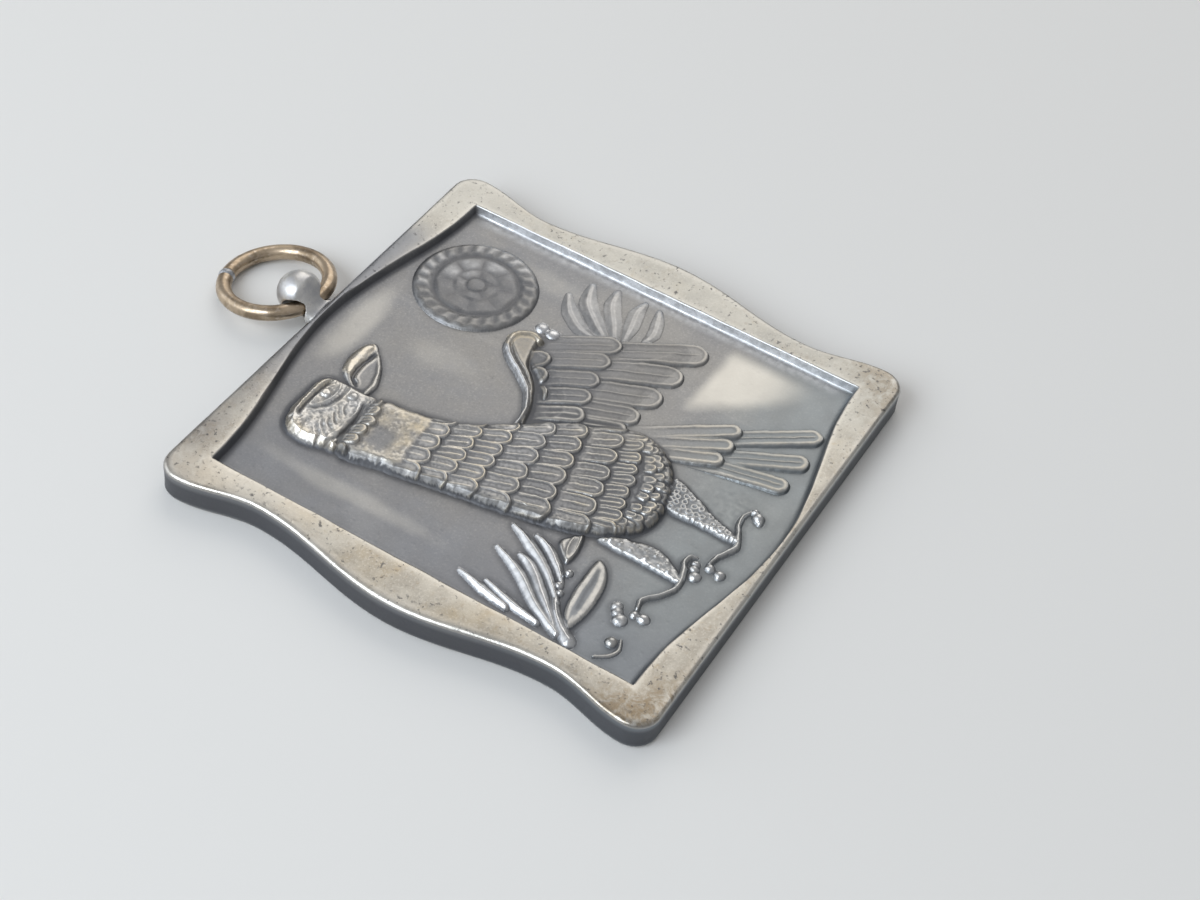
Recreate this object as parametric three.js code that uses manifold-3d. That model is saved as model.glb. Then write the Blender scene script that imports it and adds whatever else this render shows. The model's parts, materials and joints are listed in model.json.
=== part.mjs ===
// A square plaque medal: a cast plate with wavy sides, a sunk field that carries a bird in relief,
// a ball-ended eyelet soldered to the top edge, and a soldered jump ring that swings in it.
// Millimetres. +X right, +Y up the face towards the ring, +Z out of the face.
// The origin is the middle of the flat back.
import * as THREE from "three";
import { mergeVertices } from "three/addons/utils/BufferGeometryUtils.js";
import Module from "manifold-3d";

const wasm = await Module();
wasm.setup();

// ---------- driving dimensions ----------

// plate
const plateWidth = 40; // across the corners
const plateHeight = 40; // top edge to bottom edge, both straight
const plateThickness = 2.5;
const bulge = 0.65; // how far the middle of a side stands outside its corners
const waist = 1.15; // how far a side dips inside its corners
const waistHeight = 11.9; // height of the dips above and below the middle
const cornerRadius = 1.8;
const edgeRound = 0.35; // worn rounding of the front and back edges

// sunk field
const sideRim = 3.0; // rim beside the field, at the corners' width
const cornerRim = 2.8; // rim above and below the field, near its corners
const middleRim = 0.45; // the same rim at its narrowest, in the middle
const ogeeHalfWidth = 16.6; // the rim narrows between here and the middle
const fieldDepth = 0.8;
const wallSlope = 0.25; // how far the field's wall leans in over its depth

// relief: heights above the field
const figureHeight = 0.75;
const headHeight = 0.85;
const wingHeight = 0.5;
const tailHeight = 0.38;
const legHeight = 0.35;
const leafHeight = 0.32;
const lowerTailHeight = 0.266;
const discHeight = 0.45;
const rootDepth = 0.1; // how far each raised shape reaches down into the plate

// relief: widths of the rounded shoulders
const figureShoulder = 1.1;
const wingShoulder = 0.5;
const featherShoulder = 0.3;
const leafShoulder = 0.2;
const discRadius = 4.9;
const discShoulder = 0.3;

// eyelet
const eyeletOffset = 0.45; // right of the plate's middle
const ballRadius = 1.75;
const ballReach = 2.35; // ball centre beyond the top edge
const ballHeight = 2.35; // ball centre above the back
const stemRadius = 1.52; // half the stem's width
const footRadius = 1.6; // half its width where it meets the edge
const footHeight = 1.35; // middle of the foot above the back
const footFlatness = 0.56; // thickness of the foot over its width
const riseShare = 0.8; // of the way to the ball's centre, where the foot has become round
const holeReach = 1.4; // hole centre beyond the top edge
const holeHeight = 1.98; // hole centre above the back
const filletReach = 0.45; // solder: along the stem
const filletSpread = 0.5; // solder: out along the edge
const solderGap = 0.04; // clearance between solder and stem

// jump ring
const ringOuterDiameter = 9.3;
const wireDiameter = 1.2;
const wireClearance = 0.12; // between the curved wire and the hole
const ballClearance = 0.05; // between the wire and the ball beside the hole, as the ring swings
const slideShare = 0.8; // how far the ring slides towards the ball's middle
const ringTurn = THREE.MathUtils.degToRad(15); // the hole, and so the ring, points a little to the right
const seamAngle = THREE.MathUtils.degToRad(-33); // of the soldered joint, from the ring's outer end
const seamWidth = 0.5;
const seamRise = 0.06; // how far the solder stands above the wire
const restGap = 0.01; // under the ring's outer end

// ---------- sizes that follow ----------

const topEdge = plateHeight / 2;
const fieldHalfWidth = plateWidth / 2 - sideRim;
const fieldLevel = plateThickness - fieldDepth;
const wireRadius = wireDiameter / 2;
const ringRadius = (ringOuterDiameter - wireDiameter) / 2;
// Seen along the turned hole, the ball lies to the left of the hole's middle, and the ring slides that way.
const ballShift = (ballReach - holeReach) * Math.sin(ringTurn);
const ringSlide = -ballShift * slideShare;
// The wire curves on its way past the ball; half of that rise lies on each side of the hole's axis.
const halfPassage = ballRadius + ballShift + ringSlide;
const wireRise = ringRadius - Math.sqrt(ringRadius ** 2 - halfPassage ** 2);
// A small ring curves so much that it would meet the ball beside the hole, so it sits deeper in a wider hole.
const innerReach = Math.sqrt((ringRadius - wireRadius) ** 2 - (halfPassage + ballClearance) ** 2);
const clearReach = (ringRadius + wireRadius + wireClearance + innerReach) / 2;
const ringCentreReach = Math.min(ringRadius - wireRise / 2, clearReach); // from the hole's axis
const holeRadius = wireRadius + (ringRadius - ringCentreReach) + wireClearance;
const ringTilt = Math.asin(
  (holeHeight - wireRadius - restGap) / (ringCentreReach + ringRadius),
);

// ---------- materials ----------

const agedSilver = new THREE.MeshStandardMaterial({
  color: 0x8f8b80,
  metalness: 1,
  roughness: 0.42,
});
const brightSilver = new THREE.MeshStandardMaterial({
  color: 0xb9b8b4,
  metalness: 1,
  roughness: 0.3,
});
const solder = new THREE.MeshStandardMaterial({
  color: 0x9aa0ab,
  metalness: 1,
  roughness: 0.45,
});
const bronze = new THREE.MeshStandardMaterial({
  color: 0x9a7a50,
  metalness: 1,
  roughness: 0.35,
});

// ---------- helpers ----------

// A closed geometry as a manifold solid, with its shared vertices merged.
function solid(geometry) {
  const bare = new THREE.BufferGeometry();
  bare.setAttribute("position", geometry.getAttribute("position"));
  if (geometry.index) bare.setIndex(geometry.index);
  const merged = mergeVertices(bare, 1e-4);
  return new wasm.Manifold(
    new wasm.Mesh({
      numProp: 3,
      vertProperties: merged.attributes.position.array,
      triVerts: new Uint32Array(merged.index.array),
    }),
  );
}

// A manifold solid back as a named mesh.
function meshOf(body, name, material) {
  const { vertProperties, triVerts } = body.getMesh();
  const geometry = new THREE.BufferGeometry();
  geometry.setAttribute(
    "position",
    new THREE.BufferAttribute(vertProperties, 3),
  );
  geometry.setIndex(new THREE.BufferAttribute(triVerts, 1));
  geometry.computeVertexNormals();
  const mesh = new THREE.Mesh(geometry, material);
  mesh.name = name;
  return mesh;
}

const turnedSegments = 28; // round each turned or drilled shape

const smooth = (t) => THREE.MathUtils.smoothstep(t, 0, 1);
const mix = THREE.MathUtils.lerp;

// ---------- plate ----------

// Half the plate's width at a height above or below its middle: bulge, waist, corner.
function halfWidthAt(y) {
  const height = Math.abs(y);
  const corner = plateWidth / 2;
  const low = corner - waist;
  const straight = topEdge - cornerRadius;
  if (height < waistHeight)
    return mix(low, corner + bulge, 0.5 + 0.5 * Math.cos((Math.PI * height) / waistHeight));
  const t = Math.min(1, (height - waistHeight) / (straight - waistHeight));
  return mix(low, corner, 0.5 - 0.5 * Math.cos(Math.PI * t));
}

function plateShape() {
  const sideSteps = 36;
  const cornerSteps = 6;
  const straight = topEdge - cornerRadius;
  const right = [];
  for (let i = 0; i <= sideSteps; i++) {
    const y = mix(-straight, straight, i / sideSteps);
    right.push(new THREE.Vector2(halfWidthAt(y), y));
  }
  for (let i = 1; i <= cornerSteps; i++) {
    const a = (i / cornerSteps) * (Math.PI / 2);
    const x = plateWidth / 2 - cornerRadius * (1 - Math.cos(a));
    const y = straight + cornerRadius * Math.sin(a);
    right.push(new THREE.Vector2(x, y));
    right.unshift(new THREE.Vector2(x, -y));
  }
  const left = right.map((p) => new THREE.Vector2(-p.x, p.y)).reverse();
  return new THREE.Shape([...right, ...left]);
}

// Half the field's height at a distance from the middle: an ogee that is highest in the middle.
function fieldHalfHeightAt(x) {
  const t = Math.min(1, Math.abs(x) / ogeeHalfWidth);
  return topEdge - mix(cornerRim, middleRim, 0.5 + 0.5 * Math.cos(Math.PI * t));
}

function fieldShape() {
  const steps = 28;
  const top = [];
  for (let i = 0; i <= steps; i++) {
    const x = mix(fieldHalfWidth, -fieldHalfWidth, i / steps);
    top.push(new THREE.Vector2(x, fieldHalfHeightAt(x)));
  }
  const bottom = top.map((p) => new THREE.Vector2(-p.x, -p.y));
  return new THREE.Shape([...top, ...bottom]);
}

function plateBody() {
  const plate = new THREE.ExtrudeGeometry(plateShape(), {
    depth: plateThickness - 2 * edgeRound,
    bevelThickness: edgeRound,
    bevelSize: edgeRound,
    bevelOffset: -edgeRound,
    bevelSegments: 2,
  });
  plate.translate(0, 0, edgeRound);
  // The field's cutter is narrow at the floor and full size at the rim.
  const cutter = new THREE.ExtrudeGeometry(fieldShape(), {
    depth: fieldDepth,
    bevelThickness: fieldDepth,
    bevelSize: wallSlope,
    bevelOffset: -wallSlope,
    bevelSegments: 1,
  });
  cutter.translate(0, 0, plateThickness);
  return solid(plate).subtract(solid(cutter));
}

// ---------- relief ----------

// The relief is drawn on a field 34 wide and 39.1 high at its middle, and follows the field's size.
const drawnWidth = 34;
const drawnHeight = 39.1;
const scaleX = (2 * fieldHalfWidth) / drawnWidth;
const scaleY = (2 * fieldHalfHeightAt(0)) / drawnHeight;
const place = ([x, y]) => new THREE.Vector2(x * scaleX, y * scaleY);

// A raised shape with a rounded shoulder, rooted in the field.
function raised(shape, height, shoulder) {
  const geometry = new THREE.ExtrudeGeometry(shape, {
    depth: rootDepth,
    curveSegments: 2,
    bevelThickness: height,
    bevelSize: shoulder,
    bevelOffset: -shoulder,
    bevelSegments: 3,
  });
  geometry.translate(0, 0, fieldLevel - rootDepth);
  const keep = new THREE.BoxGeometry(plateWidth, plateHeight, fieldDepth + height + rootDepth);
  keep.translate(0, 0, fieldLevel - rootDepth + (fieldDepth + height + rootDepth) / 2);
  return solid(geometry).intersect(solid(keep));
}

// A closed smooth outline through points.
function outline(points) {
  const placed = points.map(place);
  const shape = new THREE.Shape();
  shape.moveTo(placed[0].x, placed[0].y);
  shape.splineThru([...placed.slice(1), placed[0]]);
  return shape;
}

// A feather, leaf or toe: a bar with a round tip, from one point to another.
function blade(from, to, width, tipWidth = width) {
  const a = place(from);
  const b = place(to);
  const along = b.clone().sub(a).normalize();
  const side = new THREE.Vector2(-along.y, along.x);
  const points = [a.clone().addScaledVector(side, width / 2)];
  const tipSteps = 6;
  for (let i = 0; i <= tipSteps; i++) {
    const angle = Math.PI * (0.5 - i / tipSteps);
    points.push(
      b
        .clone()
        .addScaledVector(side, (tipWidth / 2) * Math.sin(angle))
        .addScaledVector(along, (tipWidth / 2) * (Math.cos(angle) - 1)),
    );
  }
  points.push(a.clone().addScaledVector(side, -width / 2));
  return new THREE.Shape(points.reverse());
}

function relief() {
  const parts = [];
  const figure = [
    [-11.2, 10.6], [-10.6, 7.4], [-9.9, 4.4], [-9.3, 1.4], [-8.6, -1.8], [-7.8, -4.8],
    [-6.8, -7.6], [-5.5, -9.7], [-3.6, -10.9], [-1.6, -10.9], [0.6, -10.2], [2.6, -8.6],
    [3.6, -6.8], [3.4, -5.0], [2.3, -3.0], [0.7, -0.6], [-1.0, 2.0], [-2.8, 4.8],
    [-4.0, 7.8], [-4.9, 11.2], [-8.0, 11.8],
  ];
  parts.push(raised(outline(figure), figureHeight, figureShoulder));
  const head = [
    [-5.0, 11.4], [-4.9, 13.4], [-5.2, 15.4], [-7.0, 16.1], [-9.6, 16.1], [-11.3, 15.2],
    [-11.7, 13.9], [-11.4, 12.2], [-10.8, 10.9], [-8.0, 10.6],
  ];
  parts.push(raised(outline(head), headHeight, wingShoulder));
  const crest = [
    [-5.0, 12.5], [-3.6, 12.4], [-2.0, 13.1], [-0.8, 14.5], [-2.2, 14.9], [-3.8, 14.6],
    [-4.8, 13.6],
  ];
  parts.push(raised(outline(crest), legHeight, leafShoulder));
  const wing = [
    [-1.2, 1.6], [0.6, 2.1], [2.4, 3.1], [3.9, 4.9], [5.0, 6.8], [6.4, 7.4], [7.6, 6.2],
    [8.2, 3.6], [10.4, 0.2], [12.4, -2.6], [12.6, -4.2], [9.6, -4.0], [6.4, -3.8], [3.4, -3.6],
    [1.2, -2.4],
  ];
  parts.push(raised(outline(wing), wingHeight, wingShoulder));
  const primaries = [
    [[2.6, -1.6], [4.9, -5.2]], [[4.6, -1.0], [7.7, -5.5]],
    [[6.8, -0.6], [10.3, -5.9]], [[8.8, -0.2], [13.3, -6.2]],
  ];
  const primaryWidth = 2.2;
  for (const [from, to] of primaries) {
    parts.push(raised(blade(from, to, primaryWidth), wingHeight, wingShoulder));
  }
  const upperTail = [
    [[2.2, -7.0], [4.6, -12.2]], [[2.8, -6.4], [6.3, -12.3]], [[3.0, -5.6], [7.9, -12.0]],
  ];
  const upperTailWidth = 1.5;
  for (const [from, to] of upperTail) {
    parts.push(raised(blade(from, to, upperTailWidth), tailHeight, featherShoulder));
  }
  const lowerTail = [
    [[3.4, -10.0], [5.2, -17.3]], [[4.6, -9.6], [8.3, -17.5]], [[5.8, -9.4], [11.0, -17.2]],
  ];
  const lowerTailWidth = 1.7;
  for (const [from, to] of lowerTail) {
    parts.push(raised(blade(from, to, lowerTailWidth), lowerTailHeight, featherShoulder));
  }
  const thighs = [
    [[-6.6, -8.4], [-7.0, -15.2], 2.4, 1.2], [[-0.4, -10.0], [-1.7, -17.3], 2.9, 1.2],
  ];
  for (const [from, to, width, tip] of thighs) {
    parts.push(raised(blade(from, to, width, tip), legHeight, featherShoulder));
  }
  const toes = [
    [[-7.0, -15.0], [-12.2, -13.3], 0.8], [[-7.4, -15.0], [-4.3, -15.0], 0.8],
    [[-1.8, -17.0], [-5.4, -16.1], 0.8], [[-2.0, -17.0], [2.1, -16.4], 0.8],
  ];
  for (const [from, to, width] of toes) {
    parts.push(raised(blade(from, to, width), legHeight, leafShoulder));
  }
  const discSegments = 36;
  const disc = new THREE.CylinderGeometry(
    discRadius - discShoulder,
    discRadius,
    discHeight + rootDepth,
    discSegments,
  );
  disc.rotateX(Math.PI / 2);
  disc.scale(scaleX, scaleY, 1);
  const discCentre = place([9.55, 12.3]);
  disc.translate(discCentre.x, discCentre.y, fieldLevel + (discHeight - rootDepth) / 2);
  parts.push(solid(disc));
  const leaves = [
    [[-15.8, -10.5], [-14.8, -2.4], 1.1], [[-15.6, -11.4], [-11.6, -3.4], 1.2],
    [[-14.6, -10.2], [-9.2, -3.2], 1.2], [[-15.2, -10.6], [-8.6, -9.8], 1.6],
    [[10.2, 0.8], [12.4, 5.8], 1.2], [[10.8, 0.8], [15.2, 5.0], 1.3],
    [[10.8, 0.2], [15.6, 1.6], 1.2], [[11.4, -2.0], [15.4, -1.0], 1.0],
  ];
  const leafTip = 0.6; // width of a leaf's tip over its base
  for (const [from, to, width] of leaves) {
    parts.push(raised(blade(from, to, width, width * leafTip), leafHeight, leafShoulder));
  }
  return parts;
}

function plaque() {
  const body = relief().reduce((whole, part) => whole.add(part), plateBody());
  return meshOf(body, "plaque", agedSilver);
}

// ---------- eyelet ----------

// Radius of the eyelet at a distance beyond the top edge: foot, stem, then the ball.
function eyeletRadiusAt(reach) {
  const ball = Math.sqrt(Math.max(0, ballRadius ** 2 - (reach - ballReach) ** 2));
  if (reach >= ballReach) return ball;
  const stem = mix(footRadius, stemRadius, smooth(reach / (ballReach / 2)));
  return Math.max(stem, ball);
}

// The eyelet, grown all over by a margin: a turned shape, flattened at its foot and raised at its ball.
function eyeletSolid(margin = 0) {
  const profile = [new THREE.Vector2(0, -1)];
  const stemSteps = 12;
  const ballSteps = 8;
  for (let i = 0; i <= stemSteps; i++) {
    const reach = mix(-1, ballReach, i / stemSteps);
    profile.push(new THREE.Vector2(eyeletRadiusAt(Math.max(0, reach)) + margin, reach));
  }
  for (let i = 1; i < ballSteps; i++) {
    const a = (i / ballSteps) * (Math.PI / 2);
    const r = ballRadius + margin;
    profile.push(new THREE.Vector2(r * Math.cos(a), ballReach + r * Math.sin(a)));
  }
  profile.push(new THREE.Vector2(0, ballReach + ballRadius + margin));
  const geometry = new THREE.LatheGeometry(profile, turnedSegments);
  const position = geometry.getAttribute("position");
  for (let i = 0; i < position.count; i++) {
    const t = smooth(position.getY(i) / (ballReach * riseShare));
    const lift = mix(footHeight, ballHeight, t);
    position.setZ(i, position.getZ(i) * mix(footFlatness, 1, t) + lift);
  }
  geometry.translate(eyeletOffset, topEdge, 0);
  return solid(geometry);
}

// Everything beyond the plate's top edge.
function beyondTopEdge() {
  const size = 4 * ringOuterDiameter;
  const box = new THREE.BoxGeometry(size, size, size);
  box.translate(0, topEdge + size / 2, 0);
  return solid(box);
}

function ballEyelet() {
  const cutRadius = holeRadius / Math.cos(Math.PI / turnedSegments); // the facets stay outside the hole
  const hole = new THREE.CylinderGeometry(cutRadius, cutRadius, 6 * ballRadius, turnedSegments);
  hole.rotateZ(Math.PI / 2);
  hole.rotateZ(-ringTurn);
  hole.translate(eyeletOffset, topEdge + holeReach, holeHeight);
  const body = eyeletSolid().intersect(beyondTopEdge()).subtract(solid(hole));
  return meshOf(body, "ball_eyelet", brightSilver);
}

// The solder that holds the eyelet: a hollow fillet round its foot, flat against the top edge.
function eyeletSolder() {
  const steps = 5;
  const inner = footRadius * 0.5;
  const tip = footRadius * 0.95; // the fillet runs out inside the stem, so the cut leaves no sliver
  const outer = footRadius + filletSpread;
  const profile = [new THREE.Vector2(inner, 0)];
  for (let i = 0; i <= steps; i++) {
    const a = (i / steps) * (Math.PI / 2);
    const radius = mix(outer, tip, Math.sin(a));
    profile.push(new THREE.Vector2(radius, filletReach * (1 - Math.cos(a))));
  }
  profile.push(new THREE.Vector2(inner, filletReach), new THREE.Vector2(inner, 0));
  const geometry = new THREE.LatheGeometry(profile, turnedSegments);
  const thickness = (footFlatness * footRadius + filletSpread / 2) / (footRadius + filletSpread);
  geometry.scale(1, 1, thickness);
  geometry.translate(eyeletOffset, topEdge, footHeight);
  const body = solid(geometry).subtract(eyeletSolid(solderGap));
  return meshOf(body, "eyelet_solder", solder);
}

// ---------- jump ring ----------

// An arc of the ring's centre line. Angles run from the ring's outer end.
class RingArc extends THREE.Curve {
  constructor(start, end) {
    super();
    this.start = start;
    this.end = end;
  }

  getPoint(t, target = new THREE.Vector3()) {
    const a = mix(this.start, this.end, t);
    return target.set(
      ringSlide + ringRadius * Math.sin(a),
      ringCentreReach + ringRadius * Math.cos(a),
      0,
    );
  }
}

function wire(start, end, radius, steps) {
  const section = new THREE.Shape();
  section.absarc(0, 0, radius, 0, 2 * Math.PI);
  const geometry = new THREE.ExtrudeGeometry(section, {
    steps,
    curveSegments: 6,
    bevelEnabled: false,
    extrudePath: new RingArc(start, end),
  });
  return solid(geometry);
}

// The ring and its seam, drawn with the hole's axis along X and then laid down on its outer end.
function ringAssembly() {
  const halfSeam = seamWidth / 2 / ringRadius;
  const seamEnd = seamAngle + halfSeam;
  const nextSeam = seamAngle - halfSeam + 2 * Math.PI;
  const group = new THREE.Group();
  group.add(meshOf(wire(seamEnd, nextSeam, wireRadius, 64), "jump_ring", bronze));
  group.add(
    meshOf(
      wire(seamAngle - halfSeam, seamEnd, wireRadius + seamRise, 2),
      "ring_solder",
      brightSilver,
    ),
  );
  group.position.set(eyeletOffset, topEdge + holeReach, holeHeight);
  group.rotation.set(-ringTilt, 0, -ringTurn, "ZXY");
  return group;
}

// ---------- the medal ----------

const medal = new THREE.Group();
medal.add(plaque(), ballEyelet(), eyeletSolder(), ringAssembly());

export default medal;
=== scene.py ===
"""The looks of a square plaque medal: a bird in relief on aged silvered metal, with an eyelet and a ring.

Lengths are drawn in millimetres on the face, from the middle of the flat back: +X right, +Y up towards the
ring, +Z out of the face. Everything that Blender holds is in metres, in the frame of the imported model.
"""

import json
import math

import bmesh
import bpy
import numpy as np
from mathutils import Matrix, Vector


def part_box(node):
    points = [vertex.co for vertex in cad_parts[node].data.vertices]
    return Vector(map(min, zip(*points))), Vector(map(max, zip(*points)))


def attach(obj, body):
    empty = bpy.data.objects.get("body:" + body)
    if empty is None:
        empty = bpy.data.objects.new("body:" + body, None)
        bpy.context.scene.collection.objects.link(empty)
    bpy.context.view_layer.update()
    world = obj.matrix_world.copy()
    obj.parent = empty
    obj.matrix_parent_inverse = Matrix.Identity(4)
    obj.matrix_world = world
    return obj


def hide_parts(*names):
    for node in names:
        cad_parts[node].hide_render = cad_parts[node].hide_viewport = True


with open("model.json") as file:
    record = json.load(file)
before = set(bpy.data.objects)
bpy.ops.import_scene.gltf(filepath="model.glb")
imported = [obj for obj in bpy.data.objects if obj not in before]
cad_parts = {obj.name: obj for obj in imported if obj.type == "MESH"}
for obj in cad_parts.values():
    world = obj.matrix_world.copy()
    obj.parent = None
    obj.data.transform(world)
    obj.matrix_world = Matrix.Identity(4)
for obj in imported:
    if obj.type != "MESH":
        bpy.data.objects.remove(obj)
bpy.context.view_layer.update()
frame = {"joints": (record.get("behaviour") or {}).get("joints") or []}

MM = 0.001
JOINT = frame["joints"][0]

# ---------- sizes of the medal, in millimetres ----------

PLATE_HIGH = np.array(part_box("plaque")[1]) / MM
BULGE, WAIST, WAIST_HEIGHT, CORNER_RADIUS = 0.65, 1.15, 11.9, 1.8
TOP_EDGE = PLATE_HIGH[1]
CORNER_X = PLATE_HIGH[0] - BULGE
THICKNESS, EDGE_ROUND = 2.5, 0.38
SIDE_RIM, CORNER_RIM, MIDDLE_RIM, OGEE_HALF_WIDTH = 3.0, 2.8, 0.45, 16.6
FIELD_DEPTH, WALL_SLOPE = 0.8, 0.25
FIELD_X = CORNER_X - SIDE_RIM
FLOOR_X = FIELD_X - WALL_SLOPE
FLOOR_Z = THICKNESS - FIELD_DEPTH

EYELET_HIGH = np.array(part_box("ball_eyelet")[1]) / MM
EYELET_X = 0.45
BALL_RADIUS, STEM_RADIUS, FOOT_RADIUS = 1.75, 1.52, 1.6
BALL_REACH = EYELET_HIGH[1] - TOP_EDGE - BALL_RADIUS
BALL_HEIGHT, FOOT_HEIGHT, FOOT_FLATNESS, RISE_SHARE = 2.35, 1.35, 0.56, 0.8

HOLE = np.array(JOINT["pos_m"]) / MM
RING_TURN = math.asin(-JOINT["axis"][1])
RING_OUTER, WIRE = 9.3, 1.2
RING_RADIUS, WIRE_RADIUS = (RING_OUTER - WIRE) / 2, WIRE / 2
RING_CENTRE_REACH, RING_SLIDE = 3.839, -0.197
RING_TILT = math.asin((HOLE[2] - WIRE_RADIUS - 0.01) / (RING_CENTRE_REACH + RING_RADIUS))
SEAM_ANGLE, SEAM_WIDTH = math.radians(-33), 0.62
HOLE_RADIUS = WIRE_RADIUS + (RING_RADIUS - RING_CENTRE_REACH) + 0.12


# ---------- small helpers ----------


def smooth(t):
    """The smooth step of t, from 0 to 1."""
    t = np.clip(t, 0, 1)
    return t * t * (3 - 2 * t)


def mix(a, b, t):
    return a + (b - a) * t


def ramp(value, start, end):
    """Rises smoothly from 0 at start to 1 at end."""
    return smooth((value - start) / (end - start))


def soft_max(a, b, width):
    """The larger of two heights, with a fillet where they meet."""
    return np.maximum(a, b) + np.maximum(width - np.abs(a - b), 0) ** 2 / (4 * width)


def bell(value, middle, reach, power=2):
    """1 at the middle, falling away on both sides of it."""
    return np.exp(-(((value - middle) / reach) ** power))


def noise(x, y, cell, seed):
    """Smooth random values from -1 to 1, with features about one cell across."""
    size = 97
    table = np.random.default_rng(seed).uniform(-1, 1, (size, size))
    u, v = x / cell + 31.7, y / cell + 57.3
    i, j = np.floor(u).astype(int), np.floor(v).astype(int)
    fu, fv = smooth(u - i), smooth(v - j)
    low = mix(table[i % size, j % size], table[(i + 1) % size, j % size], fu)
    high = mix(table[i % size, (j + 1) % size], table[(i + 1) % size, (j + 1) % size], fu)
    return mix(low, high, fv)


def clouds(x, y, cell, seed):
    """Noise with finer noise on it."""
    return sum(noise(x, y, cell / 2**k, seed + k) / 2**k for k in range(3)) / 1.6


def curve(points, closed=False, steps=8):
    """A smooth curve through points, as many short straight pieces."""
    p = np.array(points, float)
    n = len(p)
    spans = n if closed else n - 1
    made = []
    for i in range(spans):
        if closed:
            a, b, c, d = (p[(i + k) % n] for k in (-1, 0, 1, 2))
        else:
            a, b, c, d = (p[min(max(i + k, 0), n - 1)] for k in (-1, 0, 1, 2))
        for t in np.linspace(0, 1, steps, endpoint=False):
            made.append(
                0.5 * (2 * b + (c - a) * t + (2 * a - 5 * b + 4 * c - d) * t**2
                       + (3 * b - a - 3 * c + d) * t**3)
            )
    if not closed:
        made.append(p[-1])
    return np.array(made)


def to_polyline(x, y, line, closed=False):
    """(distance, place along it from 0 to 1) of the nearest point of a line of short straight pieces."""
    best = np.full(x.shape, 1e9)
    place = np.zeros(x.shape)
    ends = np.roll(line, -1, axis=0) if closed else line[1:]
    starts = line if closed else line[:-1]
    for k, (a, b) in enumerate(zip(starts, ends)):
        d = b - a
        t = np.clip(((x - a[0]) * d[0] + (y - a[1]) * d[1]) / max(d @ d, 1e-9), 0, 1)
        distance = np.hypot(x - a[0] - t * d[0], y - a[1] - t * d[1])
        closer = distance < best
        best[closer] = distance[closer]
        place[closer] = (k + t[closer]) / len(starts)
    return best, place


def inside(x, y, line):
    """True for the points that a closed line goes round."""
    crossed = np.zeros(x.shape, bool)
    for a, b in zip(line, np.roll(line, -1, axis=0)):
        if a[1] == b[1]:
            continue
        spans = (a[1] > y) != (b[1] > y)
        crossed ^= spans & (x < a[0] + (y - a[1]) / (b[1] - a[1]) * (b[0] - a[0]))
    return crossed


# ---------- outlines of the plate and its field ----------


def half_width(y):
    """Half the plate's width at a height above or below its middle: bulge, waist, corner."""
    height = np.abs(y)
    low, straight = CORNER_X - WAIST, TOP_EDGE - CORNER_RADIUS
    middle = mix(low, CORNER_X + BULGE, 0.5 + 0.5 * np.cos(np.pi * height / WAIST_HEIGHT))
    t = np.clip((height - WAIST_HEIGHT) / (straight - WAIST_HEIGHT), 0, 1)
    end = mix(low, CORNER_X, 0.5 - 0.5 * np.cos(np.pi * t))
    return np.where(height < WAIST_HEIGHT, middle, end)


def field_half_height(x):
    """Half the field's height at a distance from its middle: an ogee that is highest in the middle."""
    t = np.minimum(1, np.abs(x) / OGEE_HALF_WIDTH)
    return TOP_EDGE - mix(CORNER_RIM, MIDDLE_RIM, 0.5 + 0.5 * np.cos(np.pi * t))


# ---------- relief ----------

STEEPEST = 1.2


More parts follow.
